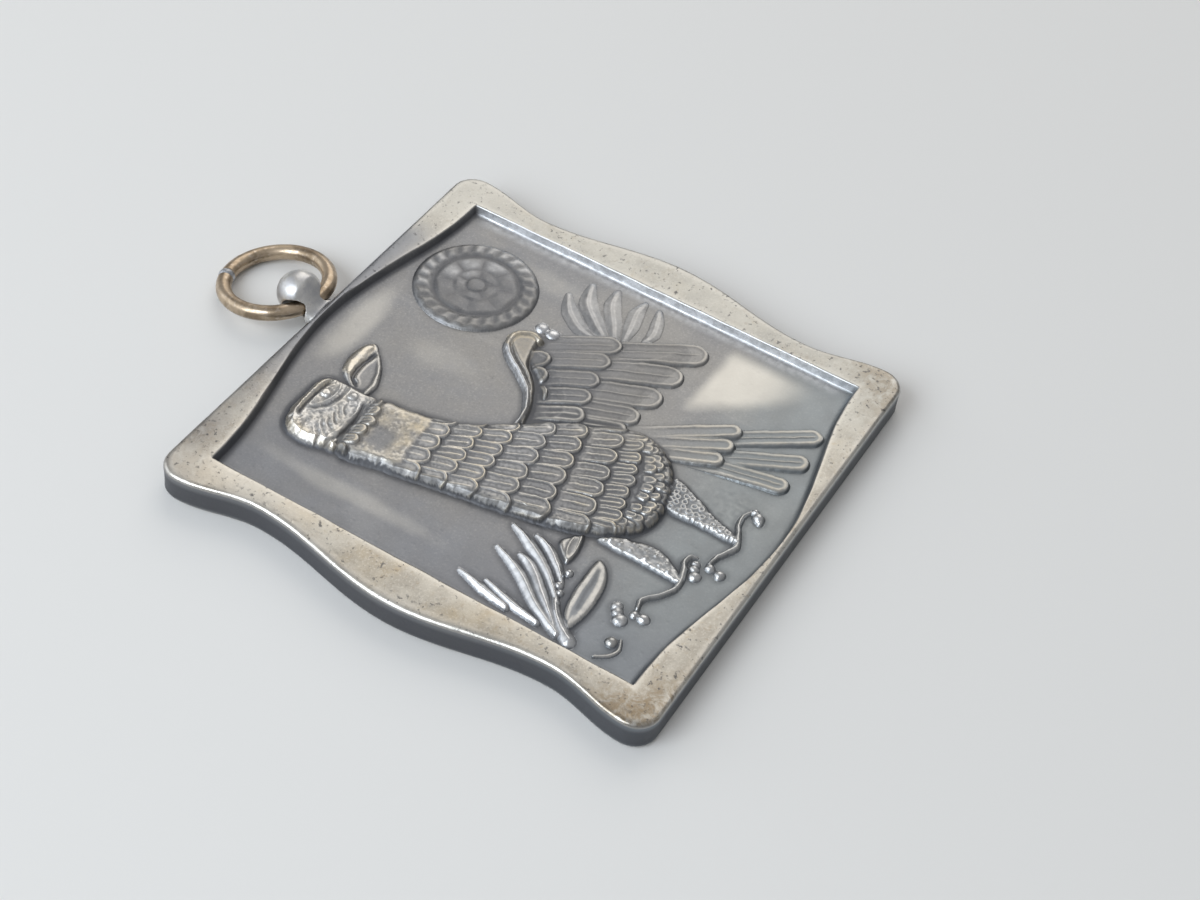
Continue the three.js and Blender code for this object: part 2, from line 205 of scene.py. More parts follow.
class Relief:
    """Heights above the field's floor at many points, and marks from 0 to 1 that the finish reads."""

    def __init__(self, x, y):
        self.x, self.y = x, y
        # One of these marks holds painted highlights: pale bluish colour laid where light would catch.
        self.height, self.gold, self.bright, self.polish, self.rough, self.dull = np.zeros((6, x.size))

    def near(self, points, reach):
        """Indices of the points within reach of the box round some points."""
        p = np.atleast_2d(points)
        low, high = p.min(0) - reach, p.max(0) + reach
        return np.nonzero(
            (self.x > low[0]) & (self.x < high[0]) & (self.y > low[1]) & (self.y < high[1])
        )[0]

    def lay(self, k, height, fillet):
        """Puts a surface on what is there, where it is the higher one."""
        self.height[k] = soft_max(self.height[k], height, fillet)

    def dome(self, points, height, shoulder, fillet=0.08, power=2.0):
        """A raised shape inside a closed outline, with a rounded shoulder. Returns its own heights."""
        line = curve(points, closed=True, steps=5)
        k = self.near(line, 0.6)
        x, y = self.x[k], self.y[k]
        distance, _ = to_polyline(x, y, line, closed=True)
        distance = np.where(inside(x, y, line), distance, -distance)
        rise = 1 - np.clip(distance / shoulder, 0, 1)
        own = np.minimum(height * (1 - rise**power) ** (1 / power), STEEPEST * distance)
        self.lay(k, own, fillet)
        whole = np.full(self.x.shape, -1.0)
        whole[k] = own
        return whole

    def stroke(self, points, widths, height, sharp, fillet=0.04):
        """A tapered ridge along a curve: round, or roof-shaped as sharp nears 1."""
        line = curve(points, steps=6)
        k = self.near(line, max(widths))
        distance, place = to_polyline(self.x[k], self.y[k], line)
        radius = np.interp(place, np.linspace(0, 1, len(widths)), widths) / 2
        t = distance / radius
        tall = height * np.minimum(1, radius / (0.35 * max(widths)))
        body = mix(np.clip(1 - t**2, 0, 1) ** 0.75, np.clip(1 - t, 0, 1), sharp)
        self.lay(k, np.where(t < 1, tall * body, STEEPEST * (radius - distance)), fillet)
        return k[t < 1]

    def carve(self, points, width, depth, steps=6):
        """A groove along a curve."""
        line = curve(points, steps=steps)
        k = self.near(line, 2 * width)
        distance, place = to_polyline(self.x[k], self.y[k], line)
        fade = smooth(place / 0.15) * smooth((1 - place) / 0.15)
        self.height[k] -= depth * mix(0.35, 1, fade) * bell(distance, 0, 0.5 * width)

    def ridge(self, points, width, height):
        """A raised line that follows what lies under it."""
        self.carve(points, width, -height)

    def ridges(self, *lines):
        """Raised lines, each (width, height, point, point, ...). Below 0, the height makes it a groove."""
        for width, height, *points in lines:
            self.ridge(points, width, height)

    def knob(self, centre, radius, height, base=None, fillet=0.03):
        """A round bead."""
        k = self.near(centre, 1.6 * radius)
        distance = np.hypot(self.x[k] - centre[0], self.y[k] - centre[1])
        t = distance / radius
        under = 0 if base is None else base[k]
        own = np.where(t < 1, height * np.clip(1 - t**2, 0, 1) ** 0.65, STEEPEST * (radius - distance))
        self.lay(k, under + own, fillet)
        return k[t < 1]

    def feather(
        self, tip, lean, length, width, lift, base,
        border=0.075, quill=0.045, inset=0.12, within=None, tint=1.0,
    ):
        """A long U that ends at tip: a raised border round a hollow blade, and a quill down the middle.
        lean is the angle of its length from straight down, to the right, in degrees. It fades out where
        within is 0. tint is how warm its raised lines are."""
        a = math.radians(lean)
        along = np.array([math.sin(a), -math.cos(a)])
        root = np.array(tip) - along * length
        k = self.near([tip, root], 0.8 * width)
        dx, dy = self.x[k] - tip[0], self.y[k] - tip[1]
        v = -(dx * along[0] + dy * along[1])
        u = dx * -along[1] + dy * along[0]
        r = width / 2
        d = np.where(v < r, np.hypot(u, v - r) - r, np.abs(u) - r)
        d = np.maximum(d, v - length)
        place = np.clip(v / length, 0, 1)
        fade = 1 - ramp(place, 0.55, 1.0)
        rise = lift * (1 - place) ** 0.8
        edge = border * bell(d, -inset, 0.75 * inset) * fade
        spine = quill * bell(u, 0, 0.09) * ramp(v, 0.35 * r, 1.1 * r) * fade
        crown = 0.03 * (1 - np.clip(np.abs(u) / r, 0, 1) ** 2) * (1 - place)
        rim = rise + border * math.exp(-(1 / 0.75) ** 2) * fade
        own = np.where(d < 0, rise + edge + spine + crown, rim - 1.8 * d)
        keep = 1.0 if within is None else within[k]
        own = own * keep - 0.3 * (1 - keep)
        self.lay(k, base[k] + own, 0.03)
        touched = (d < 0) & (base[k] + own >= self.height[k] - 0.03)
        glow = np.clip((edge / border) ** 2 + 0.8 * spine / max(quill, 1e-6), 0, 1) * keep
        self.gold[k] = np.where(touched, tint * glow * mix(1, 0.2, place), self.gold[k])
        self.bright[k[touched]] = 0


def feathers(relief, places, *style, **more):
    """Single feathers, each from its tip, lean, length and width."""
    for tip, lean, length, width in places:
        relief.feather(tip, lean, length, width, *style, **more)


def feather_row(relief, left, right, count, base, lean, length, width, lift, seed, **shape):
    """A row of overlapping feathers between two tips. lean, length and width run from left to right."""
    rng = np.random.default_rng(seed)
    for i in range(count):
        t = i / max(count - 1, 1)
        s = t + 0.03 * t * (1 - t)
        across = mix(left[0], right[0], s) + rng.normal(0, 0.04)
        tip = (across, mix(left[1], right[1], t) + rng.normal(0, 0.05))
        relief.feather(
            tip,
            mix(*lean, t) + rng.normal(0, 1.2),
            mix(*length, t),
            mix(*width, t) * rng.uniform(0.96, 1.05),
            lift * rng.uniform(0.9, 1.1),
            base,
            **shape,
        )


def draw_ground(relief):
    """The rough ground round the bird's feet."""
    x, y = relief.x, relief.y
    keep = bell(x, 1.3, 2.4) * bell(y, -14.4, 2.8)
    relief.height += 0.022 * keep * noise(x, y, 0.27, 15)


def draw_leaves(relief, floor):
    """Two sprays of long leaves, with berries and a small ball beside the left one."""
    blades = [
        ([(-15.9, -6.6), (-15.4, -4.4), (-14.9, -2.2)], (0.55, 0.75, 0.3), 0.34),
        ([(-15.8, -9.0), (-15.3, -6.4), (-14.6, -4.2)], (0.5, 0.75, 0.3), 0.34),
        ([(-15.9, -10.6), (-14.6, -8.2), (-12.9, -5.9), (-11.6, -3.2)], (0.6, 0.8, 0.85, 0.35), 0.38),
        ([(-15.6, -10.3), (-13.4, -7.9), (-11.9, -6.2), (-11.3, -4.9)], (0.5, 0.95, 0.95, 0.4), 0.36),
        ([(-13.6, -9.3), (-11.6, -7.2), (-10.3, -5.2), (-9.3, -3.1)], (0.4, 0.8, 0.85, 0.35), 0.4),
        ([(-12.0, -8.7), (-10.7, -7.5), (-9.7, -6.2), (-9.2, -4.9)], (0.35, 0.75, 0.75, 0.3), 0.34),
        ([(-15.9, -11.6), (-15.3, -10.6), (-14.3, -9.6), (-12.8, -8.6)], (1.0, 0.95, 0.7, 0.4), 0.4),
    ]
    for points, widths, height in blades:
        touched = relief.stroke(points, [1.15 * width for width in widths], height, sharp=0.6)
        # Painted highlights on the left blades.
        relief.bright[touched] = 0.75
    small_leaf = [(-10.2, -8.0), (-9.4, -6.9), (-8.6, -6.5), (-7.6, -7.2), (-7.3, -7.7), (-8.6, -8.1)]
    relief.dome(small_leaf, 0.26, 0.45)
    relief.ridges(
        (0.26, 0.1, (-10.1, -7.9), (-8.9, -8.0), (-7.4, -7.6)),
        (0.2, 0.07, (-10.0, -7.8), (-8.9, -7.3), (-7.6, -7.2)),
    )
    big_leaf = [
        (-15.2, -10.9), (-13.9, -10.0), (-12.0, -9.6), (-10.0, -9.5), (-8.6, -9.6), (-8.9, -10.4),
        (-10.2, -11.2), (-12.0, -11.5), (-14.0, -11.4),
    ]
    relief.dome(big_leaf, 0.24, 0.7)
    relief.ridges(
        (0.6, 0.05, (-15.2, -11.1), (-13.2, -11.25), (-11.2, -11.1), (-9.6, -10.6), (-8.7, -9.8)),
        (0.5, 0.05, (-15.0, -10.6), (-13.2, -10.0), (-11.2, -9.8), (-8.8, -9.75)),
        (0.5, -0.04, (-13.6, -10.7), (-12.0, -10.45), (-10.4, -10.3), (-9.2, -10.1)),
    )
    for centre, radius in (((-12.7, -8.95), 0.3), ((-12.2, -8.55), 0.36), ((-10.8, -8.55), 0.34)):
        # Painted highlights on the berries.
        relief.bright[relief.knob(centre, radius, 0.34)] = 0.6
    relief.knob((-14.3, -14.0), 0.48, 0.4)
    twig = [(-16.0, -13.6), (-15.4, -14.4), (-14.6, -14.75), (-13.8, -14.45)]
    relief.stroke(twig, (0.25, 0.36, 0.36, 0.25), 0.16, sharp=0.0)
    spray = [
        ([(10.0, 1.2), (10.4, 3.3), (11.6, 5.0), (13.2, 6.1)], (0.5, 1.3, 1.35, 0.45), 0.26),
        ([(10.3, 0.9), (11.5, 2.5), (13.2, 4.3), (15.2, 5.1)], (0.5, 1.3, 1.5, 0.5), 0.28),
        ([(10.9, 0.6), (12.5, 1.6), (14.2, 2.7), (15.8, 3.1)], (0.5, 1.3, 1.35, 0.45), 0.24),
        ([(11.3, 0.0), (12.9, 0.3), (14.5, 0.7), (15.9, 0.7)], (0.45, 1.2, 1.2, 0.4), 0.22),
        ([(11.9, -1.3), (13.2, -1.5), (14.6, -1.1), (15.8, -0.6)], (0.35, 1.0, 0.95, 0.35), 0.2),
    ]
    for points, widths, height in spray:
        touched = relief.stroke(points, widths, 0.8 * height, sharp=0.7, fillet=0.12)
        # Faint painted highlights on the right spray.
        relief.bright[touched] = 0.25
        relief.carve(points, 0.16, 0.03)
    for centre, radius in (((8.75, 5.75), 0.55), ((8.6, 4.7), 0.6)):
        # Full painted highlights on the two smooth knobs.
        relief.bright[relief.knob(centre, radius, 0.3)] = 1.0


def draw_disc(relief, floor):
    """A round boss like a sun wheel: slanted knobs round its edge, and two rounds of petals."""
    centre, outer = (9.55, 12.3), 4.9
    k = relief.near(centre, outer + 0.6)
    dx, dy = relief.x[k] - centre[0], relief.y[k] - centre[1]
    rad, ang = np.hypot(dx, dy), np.arctan2(dy, dx)
    inner = outer - rad
    plate = np.where(inner > 0, 0.26 * np.sqrt(1 - (1 - np.clip(inner / 0.5, 0, 1)) ** 2), 3 * inner)
    knobs = 0.5 + 0.5 * np.cos(24 * ang + 1.4 * (rad - 4.2))
    border = 0.1 * bell(rad, 4.15, 0.5, 4) * knobs**0.7
    moat = -0.07 * bell(rad, 3.35, 0.22)
    petals = 0.5 + 0.5 * np.cos(8 * ang + 0.5)
    outer_round = 0.09 * bell(rad, 2.45, 0.62, 4) * petals**0.6
    inner_round = 0.09 * bell(rad, 1.25, 0.42, 4) * (0.5 + 0.5 * np.cos(5 * ang + 1.9)) ** 0.6
    boss = 0.14 * np.sqrt(np.clip(1 - (rad / 0.75) ** 2, 0, 1))
    relief.lay(k, plate + border + moat + outer_round + inner_round + boss, 0.07)
    relief.dull[k] = 0.85 * (inner > 0)
    raised = np.clip((border + outer_round + inner_round + boss) / 0.1, 0, 1)
    # Bluish painted glints on its raised parts.
    relief.bright[k] = (inner > 0) * raised * np.clip(1.6 * clouds(dx, dy, 2.4, 77) - 0.05, 0, 0.7)


def draw_tail(relief, floor):
    """The tail: three long feathers over three that are longer still."""
    lower = [((5.2, -17.35), 13, 7.4, 1.5), ((8.2, -17.5), 29, 7.6, 1.6), ((11.2, -17.15), 36, 9.4, 1.6)]
    feathers(relief, lower, 0.22, floor, 0.05, 0.05, 0.24, tint=0.45)
    upper = [((4.7, -12.2), 24, 5.6, 1.3), ((6.4, -12.2), 30, 7.2, 1.35), ((8.1, -11.9), 36, 8.2, 1.4)]
    feathers(relief, upper, 0.32, floor, 0.05, 0.0, 0.24, tint=0.5)


def draw_wing(relief, floor):
    """The raised wing: primaries, a second tier, small coverts and a smooth leading band."""
    wing = [
        (-1.6, 1.0), (0.4, 1.6), (2.2, 2.7), (3.7, 4.4), (4.9, 6.3), (6.2, 6.9), (7.3, 5.9), (8.0, 4.0),
        (9.6, 1.2), (11.6, -1.6), (12.9, -3.6), (12.6, -4.6), (9.6, -4.2), (6.4, -3.9), (3.2, -3.8),
        (0.8, -2.6),
    ]
    body = relief.dome(wing, 0.24, 2.4, power=1.0)
    under = np.maximum(body, 0)
    primaries = [
        ((13.75, -6.05), 33, 11.4, 2.3), ((10.5, -5.65), 30, 10.2, 2.2), ((7.6, -5.5), 28, 8.8, 2.2),
        ((5.0, -5.05), 26, 6.8, 1.85), ((3.2, -4.9), 24, 5.2, 1.5),
    ]
    feathers(relief, primaries, 0.15, under, 0.05, 0.04, 0.2, tint=0.12)
    tier = [
        ((10.6, -0.2), 33, 6.6, 2.0), ((8.5, -0.45), 31, 5.9, 1.9), ((6.25, -0.8), 30, 5.0, 1.7),
        ((4.35, -1.25), 28, 4.4, 1.65), ((2.5, -1.75), 27, 3.8, 1.5),
    ]
    feathers(relief, tier, 0.2, under, 0.05, 0.04, 0.18, tint=0.12)
    coverts = [
        ((6.2, 3.5), 46, 2.8, 1.7), ((4.6, 2.75), 44, 2.6, 1.6), ((2.95, 1.75), 36, 2.4, 1.9),
        ((0.8, 1.45), 28, 2.2, 1.4),
    ]
    within = ramp(body, 0.03, 0.12)
    feathers(relief, coverts, 0.28, under, 0.05, 0.0, 0.18, within, tint=0.4)
    k = np.nonzero(body > -0.6)[0]
    relief.dull[k] = 0.6
    arm = [
        (-1.0, 1.4), (0.6, 1.7), (2.1, 2.3), (3.4, 3.1), (4.6, 4.2), (5.8, 4.6), (7.1, 4.9), (7.6, 5.8),
        (7.2, 6.7), (6.3, 7.1), (5.4, 6.8), (4.5, 5.8), (3.5, 4.4), (2.3, 3.1), (0.9, 2.3), (-0.6, 2.0),
    ]
    own = relief.dome(arm, 0.5, 0.5, power=1.6)
    k = np.nonzero(own > 0.1)[0]
    relief.gold[k] = np.maximum(relief.gold[k], 0.35)
    band = [
        (-1.3, 1.9), (0.0, 2.0), (0.9, 2.3), (2.2, 3.05), (3.4, 4.45), (4.4, 5.85), (5.3, 6.75), (6.2, 7.0),
    ]
    touched = relief.stroke(band, (0.4, 0.5, 0.55, 0.6, 0.62, 0.66, 0.6), 0.56, sharp=0.1, fillet=0.12)
    # A full painted highlight along the leading band.
    relief.bright[touched] = 1.0
    end = [(5.6, 6.8), (6.4, 6.9), (7.0, 6.5), (7.35, 5.8), (7.2, 5.1)]
    touched = relief.stroke(end, (0.6, 1.0, 1.1, 1.1, 0.8), 0.62, sharp=0.1, fillet=0.1)
    relief.gold[touched] = 0.9


def draw_legs(relief, rng):
    """Two thighs covered in small grains, and two long feet that end in claws."""
    thighs = [
        [
            (-7.1, -8.6), (-6.1, -9.4), (-5.7, -10.8), (-5.3, -12.0), (-5.5, -13.3), (-6.2, -14.5),
            (-6.7, -15.2), (-7.25, -15.2), (-7.2, -11.5),
        ],
        [
            (-1.7, -10.6), (1.1, -10.2), (0.9, -11.6), (0.3, -12.9), (-0.4, -14.4), (-1.1, -16.5),
            (-1.8, -16.9), (-1.85, -13.6),
        ],
    ]
    for side, outline in enumerate(thighs):
        own = relief.dome(outline, 0.34, 0.7, fillet=0.15)
        low, high = np.min(outline, 0), np.max(outline, 0)
        spots = []
        for _ in range(1500):
            spot = rng.uniform(low, high)
            if all(math.dist(spot, other) > 0.48 for other in spots):
                spots.append(spot)
        for spot in spots:
            tall = rng.uniform(0.09, 0.15)
            k = relief.near(spot, 0.35)
            rad = np.hypot(relief.x[k] - spot[0], relief.y[k] - spot[1])
            if side:
                grain = 0.09 * bell(rad, 0.19, 0.08)
            else:
                grain = tall * bell(rad, 0, 0.19)
            relief.height[k] += grain * ramp(own[k], 0.06, 0.16)
        k = np.nonzero(own > 0.05)[0]
        # Painted highlights on the grains.
        relief.bright[k] = np.maximum(relief.bright[k], 0.4)
        relief.rough[k] = 0.6
    feet = [
        (
            (0.35, 0.42, 0.45, 0.5, 0.55, 0.5, 0.42, 0.25),
            (-10.85, -14.0), (-10.1, -13.85), (-9.5, -14.2), (-8.7, -14.85), (-7.4, -15.3), (-6.2, -15.0),
            (-5.4, -14.65), (-4.7, -14.75), (-4.4, -15.1),
        ),
        (
            (0.35, 0.45, 0.5, 0.6, 0.55, 0.45, 0.42, 0.25),
            (-4.5, -16.1), (-3.7, -16.2), (-3.0, -16.55), (-2.0, -16.95), (-1.1, -16.6), (-0.2, -16.15),
            (0.7, -15.95), (1.6, -16.2),
        ),
    ]
    for widths, *points in feet:
        touched = relief.stroke(points, widths, 0.34, sharp=0.1, fillet=0.08)
        # Painted highlights on the feet.
        relief.bright[touched] = 0.35
    pads = [
        ((-12.3, -13.5), 0.52, 0.36), ((-11.85, -13.05), 0.42, 0.34), ((-11.4, -12.75), 0.45, 0.36),
        ((-11.35, -14.1), 0.36, 0.3), ((-11.3, -14.8), 0.45, 0.34), ((-6.05, -15.8), 0.45, 0.34),
        ((-5.5, -15.45), 0.36, 0.32), ((-5.0, -15.35), 0.32, 0.3), ((-4.75, -16.35), 0.38, 0.32),
        ((-4.9, -17.2), 0.42, 0.34), ((1.35, -16.95), 0.5, 0.46), ((1.7, -16.5), 0.34, 0.38),
        ((1.05, -17.25), 0.3, 0.3),
    ]
    for centre, radius, height in pads:
        # Painted highlights on the pads.
        relief.bright[relief.knob(centre, radius, height, fillet=0.08)] = 0.6


def draw_body(relief, rng):
    """The bird's body: a full dome with rows of feathers, and small knobs where it ends."""
    body = [
        (-11.05, 10.9), (-10.5, 7.2), (-9.9, 4.0), (-9.25, 0.6), (-8.8, -2.0), (-8.1, -5.0), (-7.25, -7.6),
        (-6.2, -9.4), (-5.0, -10.7), (-3.4, -11.3), (-1.6, -11.2), (0.0, -10.7), (1.6, -9.9), (2.8, -8.6),
        (3.4, -7.0), (3.4, -5.4), (2.5, -3.4), (1.1, -1.0), (-0.5, 1.2), (-1.9, 2.9), (-3.1, 4.6),
        (-3.9, 6.6), (-4.5, 9.0), (-5.0, 11.2), (-8.0, 11.8),
    ]
    own = relief.dome(body, 0.6, 1.5, fillet=0.12, power=2.6)
    base = np.maximum(own, 0)
    k = np.nonzero((own > -0.2) & (own < 0.6))[0]
    x, y = relief.x[k], relief.y[k]
    bevel = ramp(own[k], 0.0, 0.12) * (1 - ramp(own[k], 0.42, 0.6))
    relief.height[k] += (0.02 * clouds(x, y, 0.34, 93) + 0.01 * noise(x, y, 0.15, 94)) * bevel
    relief.dull *= own <= 0
    low_on_it = ramp(own[k], 0.05, 0.25) * (1 - ramp(own[k], 0.5, 0.595))
    relief.dull[k] = (1.35 + 0.6 * clouds(x, y, 0.5, 95)) * low_on_it
    relief.rough[k] = np.maximum(relief.rough[k], 0.7 * bevel)
    within = ramp(own, 0.0, 0.18)
    knobs = (
        [
            (-5.1, -10.5), (-3.9, -11.15), (-2.4, -11.25), (-0.8, -10.95), (0.8, -10.3), (2.2, -9.3),
            (3.2, -7.8),
        ],
        [(-5.6, -9.9), (-4.2, -10.5), (-2.6, -10.6), (-1.0, -10.3), (0.6, -9.6), (1.9, -8.7), (2.9, -7.4)],
        [(-5.8, -9.6), (-4.4, -9.9), (-2.8, -9.95), (-1.2, -9.6), (0.3, -9.0), (1.7, -8.2), (2.8, -7.0)],
    )
    for points, count in zip(knobs, (12, 12, 11)):
        line = curve(points)
        for t in np.linspace(0, 1, count):
            spot = line[round(t * (len(line) - 1))] + rng.normal(0, 0.06, 2)
            lean, width = mix(2, 32, t) + rng.normal(0, 6), rng.uniform(0.62, 0.84)
            lift = rng.uniform(0.12, 0.2)
            relief.feather(spot, lean, 0.95, width, lift, base, 0.05, 0.0, 0.12, within)
    rows = (
        ((-6.0, -9.5), (3.2, -6.8), 9, (16, 28), (2.3, 1.9), (1.2, 1.0)),
        ((-6.75, -7.75), (3.3, -5.1), 7, (16, 29), (3.0, 2.6), (1.75, 1.35)),
        ((-7.2, -4.75), (1.05, -2.95), 6, (14, 30), (3.4, 3.0), (1.85, 1.6)),
        ((-8.3, -2.05), (-0.2, -0.85), 6, (14, 30), (3.3, 2.9), (1.8, 1.6)),
        ((-8.45, 0.6), (-1.6, 1.3), 6, (14, 28), (3.0, 2.7), (1.6, 1.4)),
        ((-8.95, 2.7), (-2.45, 3.3), 6, (16, 26), (2.6, 2.3), (1.5, 1.3)),
        ((-9.45, 4.65), (-3.6, 5.3), 5, (14, 22), (2.2, 2.0), (1.65, 1.45)),
    )
    for n, (left, right, count, lean, length, width) in enumerate(rows):
        quill = 0.02 if n == len(rows) - 1 else 0.065
        feather_row(
            relief, left, right, count, base, lean, length, width, 0.15, 30 + n, quill=quill, within=within
        )
    on_body = ramp(own, 0.3, 0.5)
    relief.height += 0.006 * noise(relief.x, relief.y, 0.15, 96) * on_body
    relief.gold *= mix(1.0, np.clip(0.75 + 1.6 * clouds(relief.x, relief.y, 1.7, 97), 0.15, 1.3), on_body)
    # A painted highlight on the upper part of the body.
    relief.bright = np.maximum(relief.bright, 0.25 * on_body * ramp(relief.y, -3.0, 1.0))
    neck = [
        (-10.7, 10.6), (-10.3, 8.0), (-9.9, 6.2), (-7.6, 6.4), (-5.4, 6.5), (-4.3, 6.9), (-4.7, 8.8),
        (-5.1, 10.8), (-8.0, 11.0),
    ]
    line = curve(neck, closed=True, steps=4)
    k = relief.near(line, 0.5)
    x, y = relief.x[k], relief.y[k]
    distance, _ = to_polyline(x, y, line, closed=True)
    patch = np.where(inside(x, y, line), ramp(distance, 0, 0.5), 0)
    uneven = 0.03 * clouds(x + 0.3 * y, y, 0.55, 5) + 0.012 * clouds(x, y, 0.16, 6)
    hollow = bell(x + 0.2 * (8.6 - y), -8.5, 1.15, 4) * bell(y, 8.7, 1.1, 4)
    patch_height = base[k] + 0.13 + uneven * (1 - 0.7 * hollow) - 0.04 * hollow
    relief.height[k] = mix(relief.height[k], patch_height, patch)
    tan = 0.62 + 0.7 * clouds(x, y, 0.8, 8)
    tan = np.clip(patch * (1 - 0.95 * hollow) * tan, 0, 1)
    relief.gold[k] = np.maximum(relief.gold[k] * (1 - patch), tan)
    relief.rough[k] = np.maximum(relief.rough[k], patch * 0.8)
    relief.bright[k] *= 1 - 0.8 * patch
    return base


def draw_head(relief, base, rng):
    """The head in profile, facing left: brow, eye, hooked beak, collar, and a leaf-shaped ear."""
    crest = [
        (-5.3, 12.3), (-3.8, 12.35), (-2.4, 12.9), (-1.3, 13.7), (-0.35, 14.6), (-0.5, 15.3), (-2.3, 15.6),
        (-3.7, 15.35), (-4.7, 14.4), (-5.2, 13.6),
    ]
    relief.dome(crest, 0.16, 0.3)
    upper = [(-5.0, 13.2), (-4.5, 14.2), (-3.6, 14.85), (-2.3, 15.1), (-0.9, 15.0)]
    touched = relief.stroke(upper, (0.3, 0.45, 1.1, 1.3, 1.0), 0.3, sharp=0.0, fillet=0.08)
    wide_part = touched[relief.x[touched] > -4.1]
    relief.gold[wide_part] = 0.9
    # A painted highlight on the wide part of the crest.
    relief.bright[wide_part] = 0.6
    lower = [(-5.2, 12.45), (-3.9, 12.55), (-2.6, 13.0), (-1.6, 13.7), (-0.8, 14.4)]
    relief.stroke(lower, (0.5, 0.7, 0.55, 0.35, 0.25), 0.24, sharp=0.1, fillet=0.08)
    relief.carve([(-4.7, 13.5), (-4.0, 14.25), (-2.6, 14.38), (-1.0, 14.2)], 0.34, 0.2)
    head = [
        (-5.3, 10.9), (-5.0, 12.4), (-5.0, 14.2), (-5.2, 15.5), (-6.4, 16.0), (-8.4, 16.05), (-10.2, 15.8),
        (-11.3, 15.0), (-11.65, 13.9), (-11.55, 12.8), (-11.25, 11.8), (-11.0, 10.9), (-9.0, 10.8),
        (-7.0, 10.8),
    ]
    own = relief.dome(head, 0.72, 0.75, fillet=0.16, power=2.4)
    over = np.maximum(own, 0)
    under = np.maximum(base, over)
    within = ramp(under, 0.0, 0.3)
    collar = [(-10.75, 10.2), (-9.55, 9.95), (-8.45, 10.05), (-7.35, 10.05), (-6.3, 10.3), (-5.4, 10.7)]
    for n, tip in enumerate(collar):
        relief.feather(tip, 20 + 2 * n, 1.3, 0.92, 0.32, np.minimum(under, 0.6), 0.05, 0.03, 0.13, within)
    relief.ridges(
        (0.7, 0.15, (-11.0, 14.7), (-10.4, 15.35), (-9.2, 15.65), (-7.4, 15.65), (-5.5, 15.5)),
        (0.22, 0.06, (-10.4, 15.6), (-8.8, 15.95), (-6.6, 15.9), (-5.4, 15.75)),
        (0.26, -0.3, (-9.9, 14.95), (-9.0, 15.15), (-7.8, 15.12), (-6.6, 15.05), (-5.3, 15.0)),
        (0.2, -0.1, (-9.1, 14.85), (-8.5, 14.2), (-7.9, 13.75), (-7.0, 13.45), (-6.1, 13.5), (-5.3, 13.7)),
        (0.2, 0.06, (-9.3, 14.5), (-8.7, 13.85), (-8.0, 13.4), (-7.0, 13.15), (-6.0, 13.2), (-5.3, 13.4)),
        (0.2, 0.09, (-8.8, 14.75), (-8.1, 14.2), (-7.2, 13.85), (-6.4, 13.85), (-5.6, 14.2)),
        (0.18, 0.08, (-8.8, 14.8), (-7.9, 14.85), (-6.9, 14.8), (-5.8, 14.5)),
    )
    eye = relief.knob((-7.1, 14.45), 0.46, 0.26, over - 0.02)
    relief.carve([(-7.3, 14.45), (-7.05, 14.5)], 0.16, 0.08, steps=2)
    for n in range(6):
        start = (-11.05 + 0.6 * n + rng.normal(0, 0.05), 12.1 + rng.normal(0, 0.08))
        end = (-9.95 + 0.58 * n + rng.normal(0, 0.06), 13.2 - 0.1 * n + rng.normal(0, 0.08))
        bend = ((start[0] + end[0]) / 2 - 0.08, (start[1] + end[1]) / 2 + 0.12)
        relief.carve([start, bend, end], rng.uniform(0.14, 0.22), rng.uniform(0.035, 0.07))
        relief.ridge([(p[0] - 0.14, p[1] + 0.12) for p in (start, bend, end)], 0.16, 0.035)
    relief.ridges(
        (0.22, -0.12, (-11.3, 12.45), (-10.8, 12.5), (-10.3, 12.85)),
        (0.2, -0.07, (-11.1, 13.9), (-10.6, 14.1), (-10.1, 14.05)),
        (0.28, 0.06, (-11.3, 14.2), (-10.6, 14.45), (-9.9, 14.35)),
        (0.22, -0.17, (-11.1, 11.75), (-10.0, 11.35), (-8.8, 11.25), (-7.4, 11.4), (-5.9, 11.8)),
        (0.24, 0.05, (-11.0, 12.05), (-9.8, 11.7), (-8.6, 11.6), (-7.2, 11.75), (-6.0, 12.1)),
    )
    relief.knob((-6.25, 12.7), 0.46, 0.22, over - 0.06)
    k = np.nonzero(own > 0.1)[0]
    x, y = relief.x[k], relief.y[k]
    grain = 0.045 * clouds(x, y, 0.3, 41) + 0.015 * noise(x, y, 0.13, 44)
    relief.height[k] += grain * ramp(own[k], 0.1, 0.3)
    brow = bell(y, 15.55, 0.35) + bell(x, -11.0, 0.45)
    relief.gold[k] = np.clip(0.35 + 0.3 * clouds(x, y, 0.7, 42) + 0.6 * brow, 0, 1)
    # A painted highlight over the head, strongest at its left.
    relief.bright[k] = 0.8 + 0.15 * bell(x, -11.3, 0.6)
    relief.rough[k] = 0.5
    # A full painted highlight on the eye.
    relief.bright[eye] = 1.0


